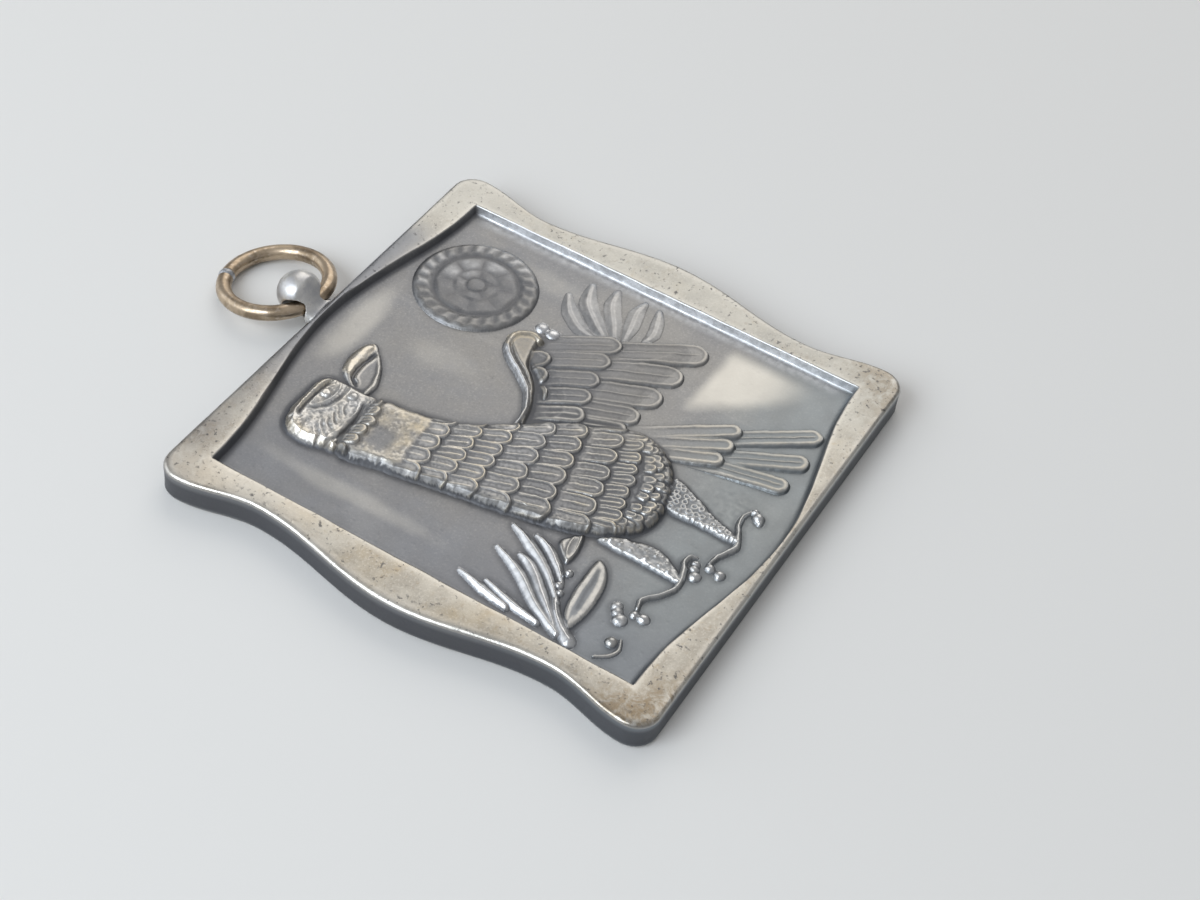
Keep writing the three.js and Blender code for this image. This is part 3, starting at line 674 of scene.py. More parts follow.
def draw_field(relief, to_wall):
    """The floor: gently uneven, a little higher beside its wall."""
    x, y = relief.x, relief.y
    relief.height += 0.022 * clouds(x, y, 7.0, 3) + 0.006 * clouds(x, y, 1.6, 9)
    relief.height += 0.14 * (1 - np.clip(to_wall / 0.45, 0, 1)) ** 2
    # Patches of painted reflection: pale colour on the floor where a bright light would be mirrored,
    # strongest in the lower right.
    reflection_patches = [
        ((1.6, 10.2), (1.8, 3.6), 0.14),
        ((0.9, 17.2), (5.0, 1.5), 0.4), ((-13.6, 8.0), (0.9, 8.5), 0.24), ((13.4, 8.0), (1.3, 6.5), 0.15),
    ]
    # A painted highlight on the floor along the right wall.
    relief.bright += 0.7 * ramp(x, 15.6, 16.6) * (1 - ramp(np.abs(y), 15.2, 17.0))
    wander = 0.3 * clouds(x, y, 2.6, 91)
    left_edge, down = 7.4 + 0.75 * (-7.4 - y), -y + 0.8 * wander
    corner = ramp(down, 6.7, 7.9) * ramp(x - left_edge + 2 * wander, 0.0, 2.2)
    relief.polish = 0.75 * corner * (1 - ramp(x, 14.4, 16.0)) * (1 - ramp(down, 10.5, 15.0))
    for centre, reach, strength in reflection_patches:
        far = np.hypot((x - centre[0]) / reach[0], (y - centre[1]) / reach[1]) + wander
        relief.polish = np.maximum(relief.polish, strength * (1 - ramp(far, 0.3, 1.2)))


def draw_flight(relief, floor):
    draw_tail(relief, floor)
    draw_wing(relief, floor)


def draw_bird(relief, floor):
    draw_legs(relief, np.random.default_rng(7))
    base = draw_body(relief, np.random.default_rng(27))
    draw_head(relief, base, np.random.default_rng(37))


GROUND, DISC, LEAVES, FLIGHT, BODY = 0, 1, 2, 3, 4


def draw_relief(x, y):
    """Everything on the field's floor, from the lowest layer to the highest. It gives the bare ground's
    height too, and which layer is on top."""
    inner_half = field_half_height(x * FIELD_X / FLOOR_X) - WALL_SLOPE
    to_wall = np.minimum(FLOOR_X - np.abs(x), inner_half - np.abs(y))
    relief = Relief(x, y)
    draw_field(relief, to_wall)
    floor = relief.height.copy()
    draw_ground(relief)
    ground = relief.height.copy()
    owner = np.full(x.shape, GROUND)
    sway_x, sway_y = (
        0.08 * clouds(x, y, 0.85, seed) + 0.03 * clouds(x, y, 0.3, seed + 2) for seed in (101, 105)
    )
    layers = (
        (DISC, draw_disc, 0.2), (LEAVES, draw_leaves, 0.3), (FLIGHT, draw_flight, 0.7), (BODY, draw_bird, 1.0)
    )
    for code, draw, uneven in layers:
        relief.x, relief.y = x + uneven * sway_x, y + uneven * sway_y
        before = relief.height.copy()
        draw(relief, floor)
        owner[np.abs(relief.height - before) > 0.003] = code
    limit = THICKNESS - FLOOR_Z + 0.1
    relief.height = np.where(relief.height > limit, limit + 0.3 * (relief.height - limit), relief.height)
    return relief, ground, owner


# ---------- the plaque's mesh ----------

CELLS_X, CELLS_Y = 208, 256


def column_places():
    """Columns of the field's grid: closer together at the rough ground."""
    x = np.linspace(-FLOOR_X, FLOOR_X, 2001)
    density = 1 + 0.7 * bell(x, 1.3, 3)
    total = np.concatenate([[0], np.cumsum((density[1:] + density[:-1]) / 2)])
    return np.interp(np.linspace(0, total[-1], CELLS_X + 1), total, x)


def outline_place(share, vertical):
    """A point of the plate's outline. share runs from -1 to 1 along a side and half of its corners."""
    corner_share = 0.075
    straight = TOP_EDGE - CORNER_RADIUS
    across = CORNER_X - CORNER_RADIUS
    size, sign = np.abs(share), np.sign(share)
    turned = np.clip((size - (1 - corner_share)) / corner_share, 0, 1) * math.pi / 4
    along = np.minimum(1, size / (1 - corner_share))
    if vertical:
        y = along * straight
        x = np.where(turned > 0, across + CORNER_RADIUS * np.cos(turned), half_width(y))
        y = np.where(turned > 0, straight + CORNER_RADIUS * np.sin(turned), y)
        return x, sign * y
    x = np.where(turned > 0, across + CORNER_RADIUS * np.sin(turned), along * across)
    y = straight + CORNER_RADIUS * np.cos(turned)
    return sign * x, y


def blur(values, reach):
    """Smooths a grid by a running average, done three times."""
    size = 2 * reach + 1
    for _ in range(3):
        for axis in (0, 1):
            pad = [(reach + 1, reach) if a == axis else (0, 0) for a in (0, 1)]
            total = np.moveaxis(np.cumsum(np.pad(values, pad, mode="edge"), axis), axis, 0)
            values = np.moveaxis((total[size:] - total[:-size]) / size, 0, axis)
    return values


def finish_marks(relief, shape, height, owner, spacing, under_top, to_wall):
    """The marks on a grid of heights: worn where it stands out, oxidised where it is hollow, with painted
    shade beside the walls.
    """
    fine, wide = blur(height, max(1, round(0.1 / spacing))), blur(height, round(0.55 / spacing))
    convex = np.clip((height - wide) / 0.12, 0, 1) * 0.5 + np.clip((height - fine) / 0.010, 0, 1) * 0.7
    open_ground = blur((owner.reshape(shape) == GROUND).astype(float), max(1, round(0.12 / spacing)))
    hollow = np.clip((wide - height) / 0.16, 0, 1) * 0.7 + np.clip((fine - height) / 0.011, 0, 1) * 0.6
    convex *= mix(1.0, 0.3, open_ground)
    hollow *= mix(0.8, 0.3, open_ground)
    calm = 1 - 0.62 * ramp(relief.x.reshape(shape), 0.5, 5.0)
    convex, hollow = convex * calm, hollow * calm
    # Painted shade: darker just under the top wall, and a little beside every wall.
    painted_wall_shade = 0.9 * (1 - ramp(under_top, 0.0, 0.5)) + 0.35 * (1 - ramp(to_wall, 0.0, 0.4))
    marks = {
        "worn": np.clip(convex, 0, 1),
        "oxide_and_shade": np.clip(hollow + 0.6 * painted_wall_shade + 0.45 * relief.dull.reshape(shape), 0, 1),
        "gold": relief.gold,
        "bright": relief.bright,
        "rough": relief.rough,
        "rim": np.zeros(shape),
        "polish": relief.polish,
    }
    return np.stack([marks[name].ravel() for name in MARKS], -1)


class Loops:
    """A closed skin grown loop by loop from the field's boundary, with marks for the finish."""

    def __init__(self, points, marks, boundary):
        self.points, self.marks = [points], [marks]
        self.count = len(points)
        self.faces = []
        self.last = boundary

    def add(self, points, marks):
        self.points.append(points)
        self.marks.append(marks)
        start = self.count
        self.count += len(points)
        return np.arange(start, self.count)

    def grow(self, points, marks):
        """Joins one more loop, of as many points as the last one, or of half as many."""
        a, b = self.last, self.add(points, marks)
        far = np.roll(b, -1)
        if len(b) == len(a):
            self.faces += np.stack([a, b, far, np.roll(a, -1)], -1).tolist()
        else:
            first, middle, last = a[::2], a[1::2], np.roll(a, -2)[::2]
            fan = [first, b, middle, middle, b, far, middle, far, last]
            self.faces += np.stack(fan, -1).reshape(-1, 3).tolist()
        self.last = b


def ring_of(grid):
    """The boundary of a grid of values, anticlockwise from its first corner."""
    return np.concatenate([grid[:-1, 0], grid[-1, :-1], grid[:0:-1, -1], grid[0, :0:-1]])


def put_ring(grid, loop):
    """Writes values round the boundary of a grid, in the order in which ring_of reads them."""
    n, m = grid.shape[0] - 1, grid.shape[1] - 1
    grid[:-1, 0], grid[-1, :-1] = loop[:n], loop[n : n + m]
    grid[:0:-1, -1], grid[0, :0:-1] = loop[n + m : 2 * n + m], loop[2 * n + m :]


def corners_of(grid):
    """The four corners of a grid's cells, in order round each cell."""
    return grid[:-1, :-1], grid[1:, :-1], grid[1:, 1:], grid[:-1, 1:]


def grid_faces(numbers, flip=False):
    a, b, c, d = corners_of(numbers)
    order = (a, d, c, b) if flip else (a, b, c, d)
    return np.stack([part.ravel() for part in order], -1).tolist()


def tube_faces(numbers, flip=False):
    """Faces of a tube from the numbers of its rings of points."""
    return grid_faces(np.column_stack([numbers, numbers[:, 0]]), flip)


MARKS = ("worn", "oxide_and_shade", "gold", "bright", "rough", "rim", "polish")


def build_plaque():
    """The plate as one closed skin: relief, wall, rim, rounded edges, sides and back."""
    columns = column_places()
    t = np.linspace(-1, 1, CELLS_Y + 1)
    floor_half = field_half_height(columns * FIELD_X / FLOOR_X) - WALL_SLOPE
    x = np.repeat(columns[:, None], CELLS_Y + 1, 1)
    y = floor_half[:, None] * t[None, :]
    to_wall = np.minimum(FLOOR_X - np.abs(x), floor_half[:, None] - np.abs(y))
    relief, ground, owner = draw_relief(x.ravel(), y.ravel())
    height = relief.height.reshape(x.shape)
    table = finish_marks(relief, x.shape, height, owner, 0.12, floor_half[:, None] - y, to_wall)
    grid = np.stack([x, y, FLOOR_Z + ground.reshape(x.shape)], -1)

    numbers = np.arange(x.size).reshape(x.shape)
    skin = Loops(grid.reshape(-1, 3), table, ring_of(numbers))
    skin.faces += grid_faces(numbers)

    share_x = np.repeat((columns / FLOOR_X)[:, None], CELLS_Y + 1, 1)
    share_y = np.repeat(t[None, :], CELLS_X + 1, 0)
    start = ring_of(np.moveaxis(np.stack([x, y]), 0, -1))
    low = start.copy()
    sx, sy = ring_of(share_x), ring_of(share_y)
    along_side = np.abs(sx) >= 1 - 1e-9
    inner_x = sx * FIELD_X
    inner_y = sy * field_half_height(inner_x)
    wobble = 0.05 * noise(inner_x, inner_y, 1.7, 13)
    ax, ay = outline_place(sx, False)
    bx, by = outline_place(sy, True)
    corner = along_side & (np.abs(sy) >= 1 - 1e-9)
    outer_x = np.where(along_side & ~corner, np.sign(sx) * bx, ax)
    outer_y = np.where(along_side & ~corner, by, np.sign(sy) * ay)
    inner = np.stack([inner_x, inner_y], -1)
    outer = np.stack([outer_x, outer_y], -1)
    step = outer - inner
    width = np.linalg.norm(step, axis=1, keepdims=True)
    away = step / width
    inner = inner + away * np.minimum(wobble[:, None], 0.1 * width)
    width = np.linalg.norm(outer - inner, axis=1, keepdims=True)
    first_z = ring_of(grid[..., 2])

    def level(points, z, worn, oxide_and_shade, rim, bright=0.0):
        """Points at a height, with the same marks all round."""
        z = np.broadcast_to(z, len(points))
        marked = np.zeros((len(points), len(MARKS)))
        for name, value in (("worn", worn), ("oxide_and_shade", oxide_and_shade), ("rim", rim), ("bright", bright)):
            marked[:, MARKS.index(name)] = value
        return np.column_stack([points, z]), marked

    # Rings of the recess wall, each (across, up, worn, painted shade at the wall's foot that fades up it).
    wall = [
        (0.16, 0.10, 0, 0.95), (0.42, 0.38, 0, 0.6), (0.66, 0.64, 0.1, 0.35), (0.86, 0.86, 0.35, 0.1),
        (1.0, 0.965, 0.8, 0.0),
    ]
    # right marks the right wall: there the painted shade is taken away and a painted highlight laid on it.
    right = ramp(low[:, 0], FLOOR_X - 0.2, FLOOR_X) * (1 - ramp(np.abs(low[:, 1]), 16.4, 17.0))
    for across, up, worn, oxide_and_shade in wall:
        points = mix(low, inner, across)
        z = mix(first_z, THICKNESS, up)
        skin.grow(*level(points, z, worn, oxide_and_shade * (1 - 0.9 * right), 0.5 * across, right))

    flat = width - EDGE_ROUND

    def rim_height(points, share):
        """The rim's top: slightly crowned and uneven, and plainer where it is narrow."""
        px, py = points[:, 0], points[:, 1]
        uneven = 0.028 * clouds(px, py, 3.4, 17) + 0.012 * clouds(px, py, 0.9, 19)
        crown = 0.05 * (1 - (2 * share - 1) ** 2)
        return THICKNESS + (uneven + crown - 0.02) * ramp(flat[:, 0], 0.0, 1.2)[:: len(flat) // len(points)]

    def halve(values):
        return values[::2]

    first = inner + away * flat * 0.05
    skin.grow(*level(first, rim_height(first, 0.05) - 0.008, 0.75, 0, 0.9))
    inner, away, flat_half, outer_half = halve(inner), halve(away), halve(flat), halve(outer)
    for share in (0.25, 0.5, 0.75, 0.92):
        points = inner + away * flat_half * share
        px, py = points[:, 0], points[:, 1]
        worn = 0.35 + 0.3 * (share > 0.8)
        skin.grow(*level(points, rim_height(points, share), worn, 0, 1.0))
    for quarter, worn in ((0.0, 0.75), (0.3, 1.0), (0.6, 0.9), (0.85, 0.5), (1.0, 0.15)):
        a = quarter * math.pi / 2
        points = outer_half - away * EDGE_ROUND * (1 - math.sin(a))
        z = mix(rim_height(points, 1.0), THICKNESS, quarter) - EDGE_ROUND * (1 - math.cos(a))
        skin.grow(*level(points, z, worn, 0, 1 - 0.75 * quarter))
    # The plate's sides are painted fully dark: a painted dark reflection all round.
    side_noise = 0.03 * clouds(outer_half[:, 0] * 1.3, outer_half[:, 1] * 1.3, 2.2, 23)
    for up in (0.62, 0.4, 0.2):
        points = outer_half - away * (0.02 + np.abs(side_noise[:, None]))
        skin.grow(*level(points, up * THICKNESS, 0.0, 1.0, 0.1))
    # The rounded lower edge gets some painted shade.
    for quarter, worn in ((0.1, 0.1), (0.5, 0.7), (0.9, 0.4)):
        a = quarter * math.pi / 2
        points = outer_half - away * EDGE_ROUND * (1 - math.cos(a))
        z = EDGE_ROUND * (1 - math.sin(a))
        skin.grow(*level(points, z, worn, 0.4, 0.2))
    back = outer_half - away * EDGE_ROUND
    skin.grow(*level(back, 0.0, 0.3, 0, 0.3))

    middle = back
    for shrink in (0.93, 0.86):
        middle = middle[::2]
        skin.grow(*level(middle * shrink, 0.012, 0.1, 0.05, 0.25))
    cells_x, cells_y = CELLS_X // 8, CELLS_Y // 8
    edge = np.zeros((cells_x + 1, cells_y + 1, 2))
    put_ring(edge, middle * 0.80)
    u, v = np.linspace(0, 1, cells_x + 1)[:, None, None], np.linspace(0, 1, cells_y + 1)[None, :, None]
    patch = (
        (1 - v) * edge[:, :1] + v * edge[:, -1:] + (1 - u) * edge[:1] + u * edge[-1:]
        - (1 - u) * (1 - v) * edge[0, 0] - u * (1 - v) * edge[-1, 0]
        - (1 - u) * v * edge[0, -1] - u * v * edge[-1, -1]
    )
    back_z = 0.02 + 0.012 * clouds(patch[..., 0], patch[..., 1], 6.0, 29)
    skin.grow(*level(ring_of(patch), ring_of(back_z), 0.1, 0.1, 0.25))
    made = skin.add(*level(patch[1:-1, 1:-1].reshape(-1, 2), back_z[1:-1, 1:-1].ravel(), 0.12, 0.1, 0.25))
    back_numbers = np.full(back_z.shape, -1)
    back_numbers[1:-1, 1:-1] = made.reshape(cells_x - 1, cells_y - 1)
    put_ring(back_numbers, skin.last)
    skin.faces += grid_faces(back_numbers, flip=True)

    return mesh_piece("plaque_body", np.vstack(skin.points), skin.faces, np.vstack(skin.marks))


LAYER_SINK, BORDER_DIP = 0.35, 0.12


def build_layer(name, code, low, high, spacing):
    """One layer of the relief as a closed piece of its own, finer than the field's grid. It dips under its
    neighbours at its border, and its flat underside is sunk in the plate."""
    columns = np.arange(low[0], high[0], spacing)
    rows = np.arange(low[1], high[1], spacing)
    x, y = np.meshgrid(columns, rows, indexing="ij")
    relief, _, owner = draw_relief(x.ravel(), y.ravel())
    height, mine = relief.height.reshape(x.shape), owner.reshape(x.shape) == code
    under_top = field_half_height(x * FIELD_X / FLOOR_X) - WALL_SLOPE - y
    table = finish_marks(relief, x.shape, height, owner, spacing, under_top, under_top)
    share = np.where(mine, 1.0, blur(mine.astype(float), round(0.12 / spacing)))
    top = height - BORDER_DIP * (1 - ramp(share, 0.0, 0.5))
    cells = np.logical_and.reduce(corners_of(share > 0.05))
    for _ in range(3):
        a, b, c, d = corners_of(cells)
        a |= b & d & ~c
        b |= a & c & ~d
    used = np.zeros(x.shape, bool)
    for i in (0, 1):
        for j in (0, 1):
            used[i : x.shape[0] - 1 + i, j : x.shape[1] - 1 + j] |= cells
    count = int(used.sum())
    numbers = np.full(x.shape, -1)
    numbers[used] = np.arange(count)
    faces = np.stack([corner[cells] for corner in corners_of(numbers)], -1)
    edges = np.concatenate([faces[:, [i, (i + 1) % 4]] for i in range(4)])
    keys = edges.min(1) * count + edges.max(1)
    _, first, times = np.unique(keys, return_index=True, return_counts=True)
    border = edges[first[times == 1]]
    walls = np.stack([border[:, 1], border[:, 0], border[:, 0] + count, border[:, 1] + count], -1)
    underside = faces[:, ::-1] + count
    heights = np.concatenate([FLOOR_Z + top[used], np.full(count, FLOOR_Z - LAYER_SINK)])
    points = np.column_stack([np.tile(x[used], 2), np.tile(y[used], 2), heights])
    marks = table.reshape(*x.shape, -1)[used]
    piece = mesh_piece(
        name, points, np.vstack([faces, walls, underside]).tolist(), np.vstack([marks, np.zeros_like(marks)])
    )
    grown = bmesh.new()
    grown.from_mesh(piece.data)
    grown.verts.ensure_lookup_table()
    sunk = [v for v in grown.verts[count:] if all(f.normal.z < -0.9 for f in v.link_faces)]
    inner = {e for v in sunk for e in v.link_edges}
    bmesh.ops.dissolve_edges(grown, edges=list(inner), use_verts=True)
    grown.to_mesh(piece.data)
    grown.free()
    piece.data.update()
    return piece


def add_mesh(name, points, faces):
    """A mesh object in the scene."""
    mesh = bpy.data.meshes.new(name)
    mesh.from_pydata(points, [], faces)
    piece = bpy.data.objects.new(name, mesh)
    bpy.context.scene.collection.objects.link(piece)
    return piece


def mesh_piece(name, points, faces, marks=None):
    """A smooth-shaded mesh object from points in millimetres."""
    piece = add_mesh(name, (points * MM).tolist(), faces)
    if marks is not None:
        for n, mark in enumerate(MARKS):
            made = piece.data.attributes.new(mark, "FLOAT", "POINT")
            made.data.foreach_set("value", marks[:, n].astype(np.float32))
    piece.data.shade_smooth()
    piece.data.update()
    return piece


# ---------- eyelet, solder and ring ----------


def turned_mesh(name, profile, around):
    """A shape turned about Y, from (radius, reach) pairs that start and end on the axis."""
    radius, reach = np.array(profile).T
    angles = np.arange(around) * 2 * math.pi / around
    middle = slice(1, -1)
    rings = np.stack(
        [
            radius[middle, None] * np.cos(angles),
            np.repeat(reach[middle, None], around, 1),
            radius[middle, None] * np.sin(angles),
        ],
        -1,
    )
    count = len(rings)
    points = np.vstack([[0, reach[0], 0], rings.reshape(-1, 3), [0, reach[-1], 0]])
    numbers = 1 + np.arange(count * around).reshape(count, around)
    faces = tube_faces(numbers)
    last = len(points) - 1
    for j in range(around):
        k = (j + 1) % around
        faces.append((0, int(numbers[0, j]), int(numbers[0, k])))
        faces.append((last, int(numbers[-1, k]), int(numbers[-1, j])))
    return add_mesh(name, points.tolist(), faces)


def positions(mesh):
    values = np.empty(len(mesh.vertices) * 3, np.float32)
    mesh.vertices.foreach_get("co", values)
    return values.reshape(-1, 3).astype(float)


def set_positions(mesh, points):
    mesh.vertices.foreach_set("co", points.astype(np.float32).ravel())
    mesh.update()


def apply_modifiers(piece):
    """Turns a piece with modifiers into the mesh that they make."""
    depsgraph = bpy.context.evaluated_depsgraph_get()
    mesh = bpy.data.meshes.new_from_object(piece.evaluated_get(depsgraph))
    piece.modifiers.clear()
    old, piece.data = piece.data, mesh
    bpy.data.meshes.remove(old)
    mesh.name = piece.name


def build_eyelet():
    """The ball on its stem, drilled across, with its sharp edges worn round."""
    reaches = np.linspace(-1.0, BALL_REACH, 40)
    stem = mix(FOOT_RADIUS, STEM_RADIUS, smooth(np.clip(reaches, 0, None) / (BALL_REACH / 2)))
    ball = np.sqrt(np.clip(BALL_RADIUS**2 - (reaches - BALL_REACH) ** 2, 0, None))
    neck = soft_max(stem, ball, 0.12)
    profile = [(0, -1.0), *zip(neck, reaches)]
    for a in np.linspace(0, math.pi / 2, 22)[1:-1]:
        profile.append((BALL_RADIUS * math.cos(a), BALL_REACH + BALL_RADIUS * math.sin(a)))
    profile.append((0, BALL_REACH + BALL_RADIUS))
    piece = turned_mesh("ball_eyelet_body", profile, 96)
    points = positions(piece.data)
    t = smooth(points[:, 1] / (BALL_REACH * RISE_SHARE))
    points[:, 2] = points[:, 2] * mix(FOOT_FLATNESS, 1, t) + mix(FOOT_HEIGHT, BALL_HEIGHT, t)
    points[:, :2] += (EYELET_X, TOP_EDGE)
    set_positions(piece.data, points)
    reach = 3 * BALL_RADIUS
    drill = turned_mesh("drill", [(0, -reach), (HOLE_RADIUS, -reach), (HOLE_RADIUS, reach), (0, reach)], 96)
    drill.data.transform(
        Matrix.Translation(HOLE) @ Matrix.Rotation(-RING_TURN, 4, "Z") @ Matrix.Rotation(math.pi / 2, 4, "Z")
    )
    block_points = 3.0 * np.array([(x, y, z) for x in (-1, 1) for y in (-1, 1) for z in (-1, 1)])
    block_points += (EYELET_X, TOP_EDGE - 3.0, FOOT_HEIGHT)
    block_faces = [(0, 1, 3, 2), (4, 6, 7, 5), (0, 4, 5, 1), (2, 3, 7, 6), (0, 2, 6, 4), (1, 5, 7, 3)]
    block = add_mesh("block", block_points.tolist(), block_faces)
    for tool in (drill, block):
        cut = piece.modifiers.new(tool.name, "BOOLEAN")
        cut.operation, cut.solver, cut.object = "DIFFERENCE", "EXACT", tool
    voxels = piece.modifiers.new("voxels", "REMESH")
    voxels.mode, voxels.voxel_size = "VOXEL", 0.06
    ease = piece.modifiers.new("ease", "SMOOTH")
    ease.factor, ease.iterations = 0.5, 6
    apply_modifiers(piece)
    for tool in (drill, block):
        bpy.data.objects.remove(tool)
    points = positions(piece.data)
    points[:, 1] = np.maximum(points[:, 1], TOP_EDGE)
    points += 0.012 * clouds(points[:, 0] * 2, points[:, 1] + 3 * points[:, 2], 1.1, 51)[:, None]
    set_positions(piece.data, points * MM)
    piece.data.shade_smooth()
    return piece


def build_solder():
    """The lumpy fillet of solder round the eyelet's foot."""
    around, steps = 96, 14
    outer_spread, reach = 0.42, 0.32
    angles = np.arange(around) * 2 * math.pi / around
    lump = 1 + 0.14 * clouds(np.cos(angles) * 3, np.sin(angles) * 3, 1.3, 61)
    rings = []
    inner = FOOT_RADIUS * 0.82
    for a in np.linspace(0, math.pi / 2, steps):
        radius = mix(FOOT_RADIUS + outer_spread * lump, FOOT_RADIUS * 0.98, math.sin(a) ** 0.9)
        rings.append((radius, reach * lump * (1 - math.cos(a))))
    rings.append((np.full(around, inner), reach * lump * 0.9))
    rings.append((np.full(around, inner), np.full(around, 0.0)))
    thickness = (FOOT_FLATNESS * FOOT_RADIUS + outer_spread / 2) / (FOOT_RADIUS + outer_spread)
    points = np.vstack([
        np.column_stack([
            EYELET_X + radius * np.cos(angles),
            TOP_EDGE + rise,
            FOOT_HEIGHT + thickness * radius * np.sin(angles),
        ])
        for radius, rise in rings
    ])
    numbers = np.arange(len(rings) * around).reshape(-1, around)
    return mesh_piece("eyelet_solder_fillet", points, tube_faces(np.vstack([numbers, numbers[:1]])))


def ring_matrix():
    """Where the ring hangs: its hole's axis along local X, its outer end towards local +Y."""
    return (
        Matrix.Translation(HOLE) @ Matrix.Rotation(-RING_TURN, 4, "Z") @ Matrix.Rotation(-RING_TILT, 4, "X")
    )


def wire_arc(name, start, end, radius_at, steps, around, seed):
    """A closed piece of round wire along the ring, from one angle to another."""
    matrix = np.array(ring_matrix())
    turns = np.linspace(0, 1, steps + 1)
    angles = np.arange(around) * 2 * math.pi / around
    points = []
    for t in turns:
        a = mix(start, end, t)
        uneven = 0.012 * clouds(np.cos(angles) * 2 + 9 * a, np.sin(angles) * 2, 1.5, seed)
        radius = radius_at(t) * (1 + uneven)
        out = RING_RADIUS + radius * np.cos(angles)
        up = radius * np.sin(angles)
        points.append(
            np.column_stack(
                [RING_SLIDE + out * math.sin(a), RING_CENTRE_REACH + out * math.cos(a), up, np.ones(around)]
            )
        )
    numbers = np.arange(len(points) * around).reshape(-1, around)
    faces = tube_faces(numbers, flip=True)
    faces += [numbers[0][::-1].tolist(), numbers[-1].tolist()]
    placed = (np.vstack(points) @ matrix.T)[:, :3]
    return mesh_piece(name, placed, faces)


def build_ring():
    """The wire ring, closed but for its joint, its ends slightly narrowed where they meet."""
    half = SEAM_WIDTH / 2 / RING_RADIUS

    def radius_at(t):
        ends = min(t, 1 - t) * 2 * math.pi * RING_RADIUS
        return WIRE_RADIUS * (1 - 0.25 * (1 - smooth(ends / 0.12)))

    start, end = SEAM_ANGLE + half * 0.6, SEAM_ANGLE - half * 0.6 + 2 * math.pi
    return wire_arc("jump_ring_wire", start, end, radius_at, 320, 36, 71)


def build_seam():
    """The bead of solder that closes the ring's joint."""
    half = SEAM_WIDTH / 2 / RING_RADIUS

    def radius_at(t):
        return WIRE_RADIUS * (0.86 + 0.24 * math.sin(math.pi * t) ** 0.6)

    return wire_arc("ring_solder_bead", SEAM_ANGLE - half, SEAM_ANGLE + half, radius_at, 16, 36, 81)


# ---------- materials ----------


class Nodes:
    """A short way to write a node tree."""

    def __init__(self, name):
        self.material = bpy.data.materials.new(name)
        self.material.use_nodes = True
        self.tree = self.material.node_tree
        self.shader = self.tree.nodes["Principled BSDF"]
        self.place = self.add("ShaderNodeTexCoord").outputs["Object"]

    def add(self, kind, **settings):
        node = self.tree.nodes.new(kind)
        for key, value in settings.items():
            setattr(node, key, value)
        return node

    def put(self, socket, value):
        """Links an output to a socket, or sets the socket's own value."""
        if isinstance(value, bpy.types.NodeSocket):
            self.tree.links.new(value, socket)
        else:
            socket.default_value = value

    def metal(self, colour, shine, normal, metallic=1.0):
        """Fills in the shader, and gives the material."""
        values = {"Base Color": colour, "Metallic": metallic, "Roughness": shine, "Normal": normal}
        for name, value in values.items():
            self.put(self.shader.inputs[name], value)
        return self.material

    def mark(self, name):
        return self.add("ShaderNodeAttribute", attribute_name=name).outputs["Fac"]

    def math(self, operation, a, b=0.0, clamp=False):
        node = self.add("ShaderNodeMath", operation=operation, use_clamp=clamp)
        self.put(node.inputs[0], a)
        self.put(node.inputs[1], b)
        return node.outputs[0]

    def times(self, a, b):
        return self.math("MULTIPLY", a, b)

    def span(self, value, low, high, to_low=0.0, to_high=1.0):
        """Maps a value from one range to another, smoothly and clamped."""
        node = self.add("ShaderNodeMapRange", interpolation_type="SMOOTHSTEP")
        for socket, part in zip(node.inputs, (value, low, high, to_low, to_high)):
            self.put(socket, part)
        return node.outputs[0]

    def from_middle(self):
        """The place across the piece's face and up it, and the distance from its middle."""
        split = self.add("ShaderNodeSeparateXYZ")
        self.put(split.inputs[0], self.place)
        across, up = split.outputs["X"], split.outputs["Y"]
        square = self.math("ADD", self.times(across, across), self.times(up, up))
        return across, up, self.math("SQRT", square)

    def noise(self, size, detail=4.0, roughness=0.55, stretch=None, distortion=0.0):
        """Noise with features about size metres across."""
        place = self.place
        if stretch:
            node = self.add("ShaderNodeVectorMath", operation="MULTIPLY")
            self.put(node.inputs[0], place)
            self.put(node.inputs[1], stretch)
            place = node.outputs[0]
        node = self.add("ShaderNodeTexNoise")
        self.put(node.inputs["Vector"], place)
        self.put(node.inputs["Scale"], 1 / size)
        self.put(node.inputs["Detail"], detail)
        self.put(node.inputs["Roughness"], roughness)
        self.put(node.inputs["Distortion"], distortion)
        return node.outputs["Fac"]

    def cells(self, size):
        node = self.add("ShaderNodeTexVoronoi")
        self.put(node.inputs["Vector"], self.place)
        self.put(node.inputs["Scale"], 1 / size)
        return node.outputs["Distance"]

    def blend(self, share, a, b):
        node = self.add("ShaderNodeMix", data_type="RGBA")
        self.put(node.inputs["Factor"], share)
        for socket, value in ((node.inputs[6], a), (node.inputs[7], b)):
            self.put(socket, (*value, 1) if isinstance(value, tuple) else value)
        return node.outputs[2]

    def coats(self, colour, *coats):
        """Colours laid over one another, each (mask, where it starts, where it is full, share, colour)."""
        for mask, start, full, share, over in coats:
            colour = self.blend(self.span(mask, start, full, 0, share), colour, over)
        return colour

    def bump(self, height, distance, strength=1.0, under=None):
        node = self.add("ShaderNodeBump")
        self.put(node.inputs["Height"], height)
        self.put(node.inputs["Distance"], distance)
        self.put(node.inputs["Strength"], strength)
        if under is not None:
            self.put(node.inputs["Normal"], under)
        return node.outputs["Normal"]


OXIDE_AND_SHADE = (0.075, 0.077, 0.086)
WORN_SILVER = (0.68, 0.655, 0.60)
RIM_SILVER = (0.55, 0.525, 0.47)
WARM_TARNISH = (0.42, 0.34, 0.22)
BROWN_TARNISH = (0.24, 0.18, 0.11)
BLUE_GREY = (0.20, 0.215, 0.25)


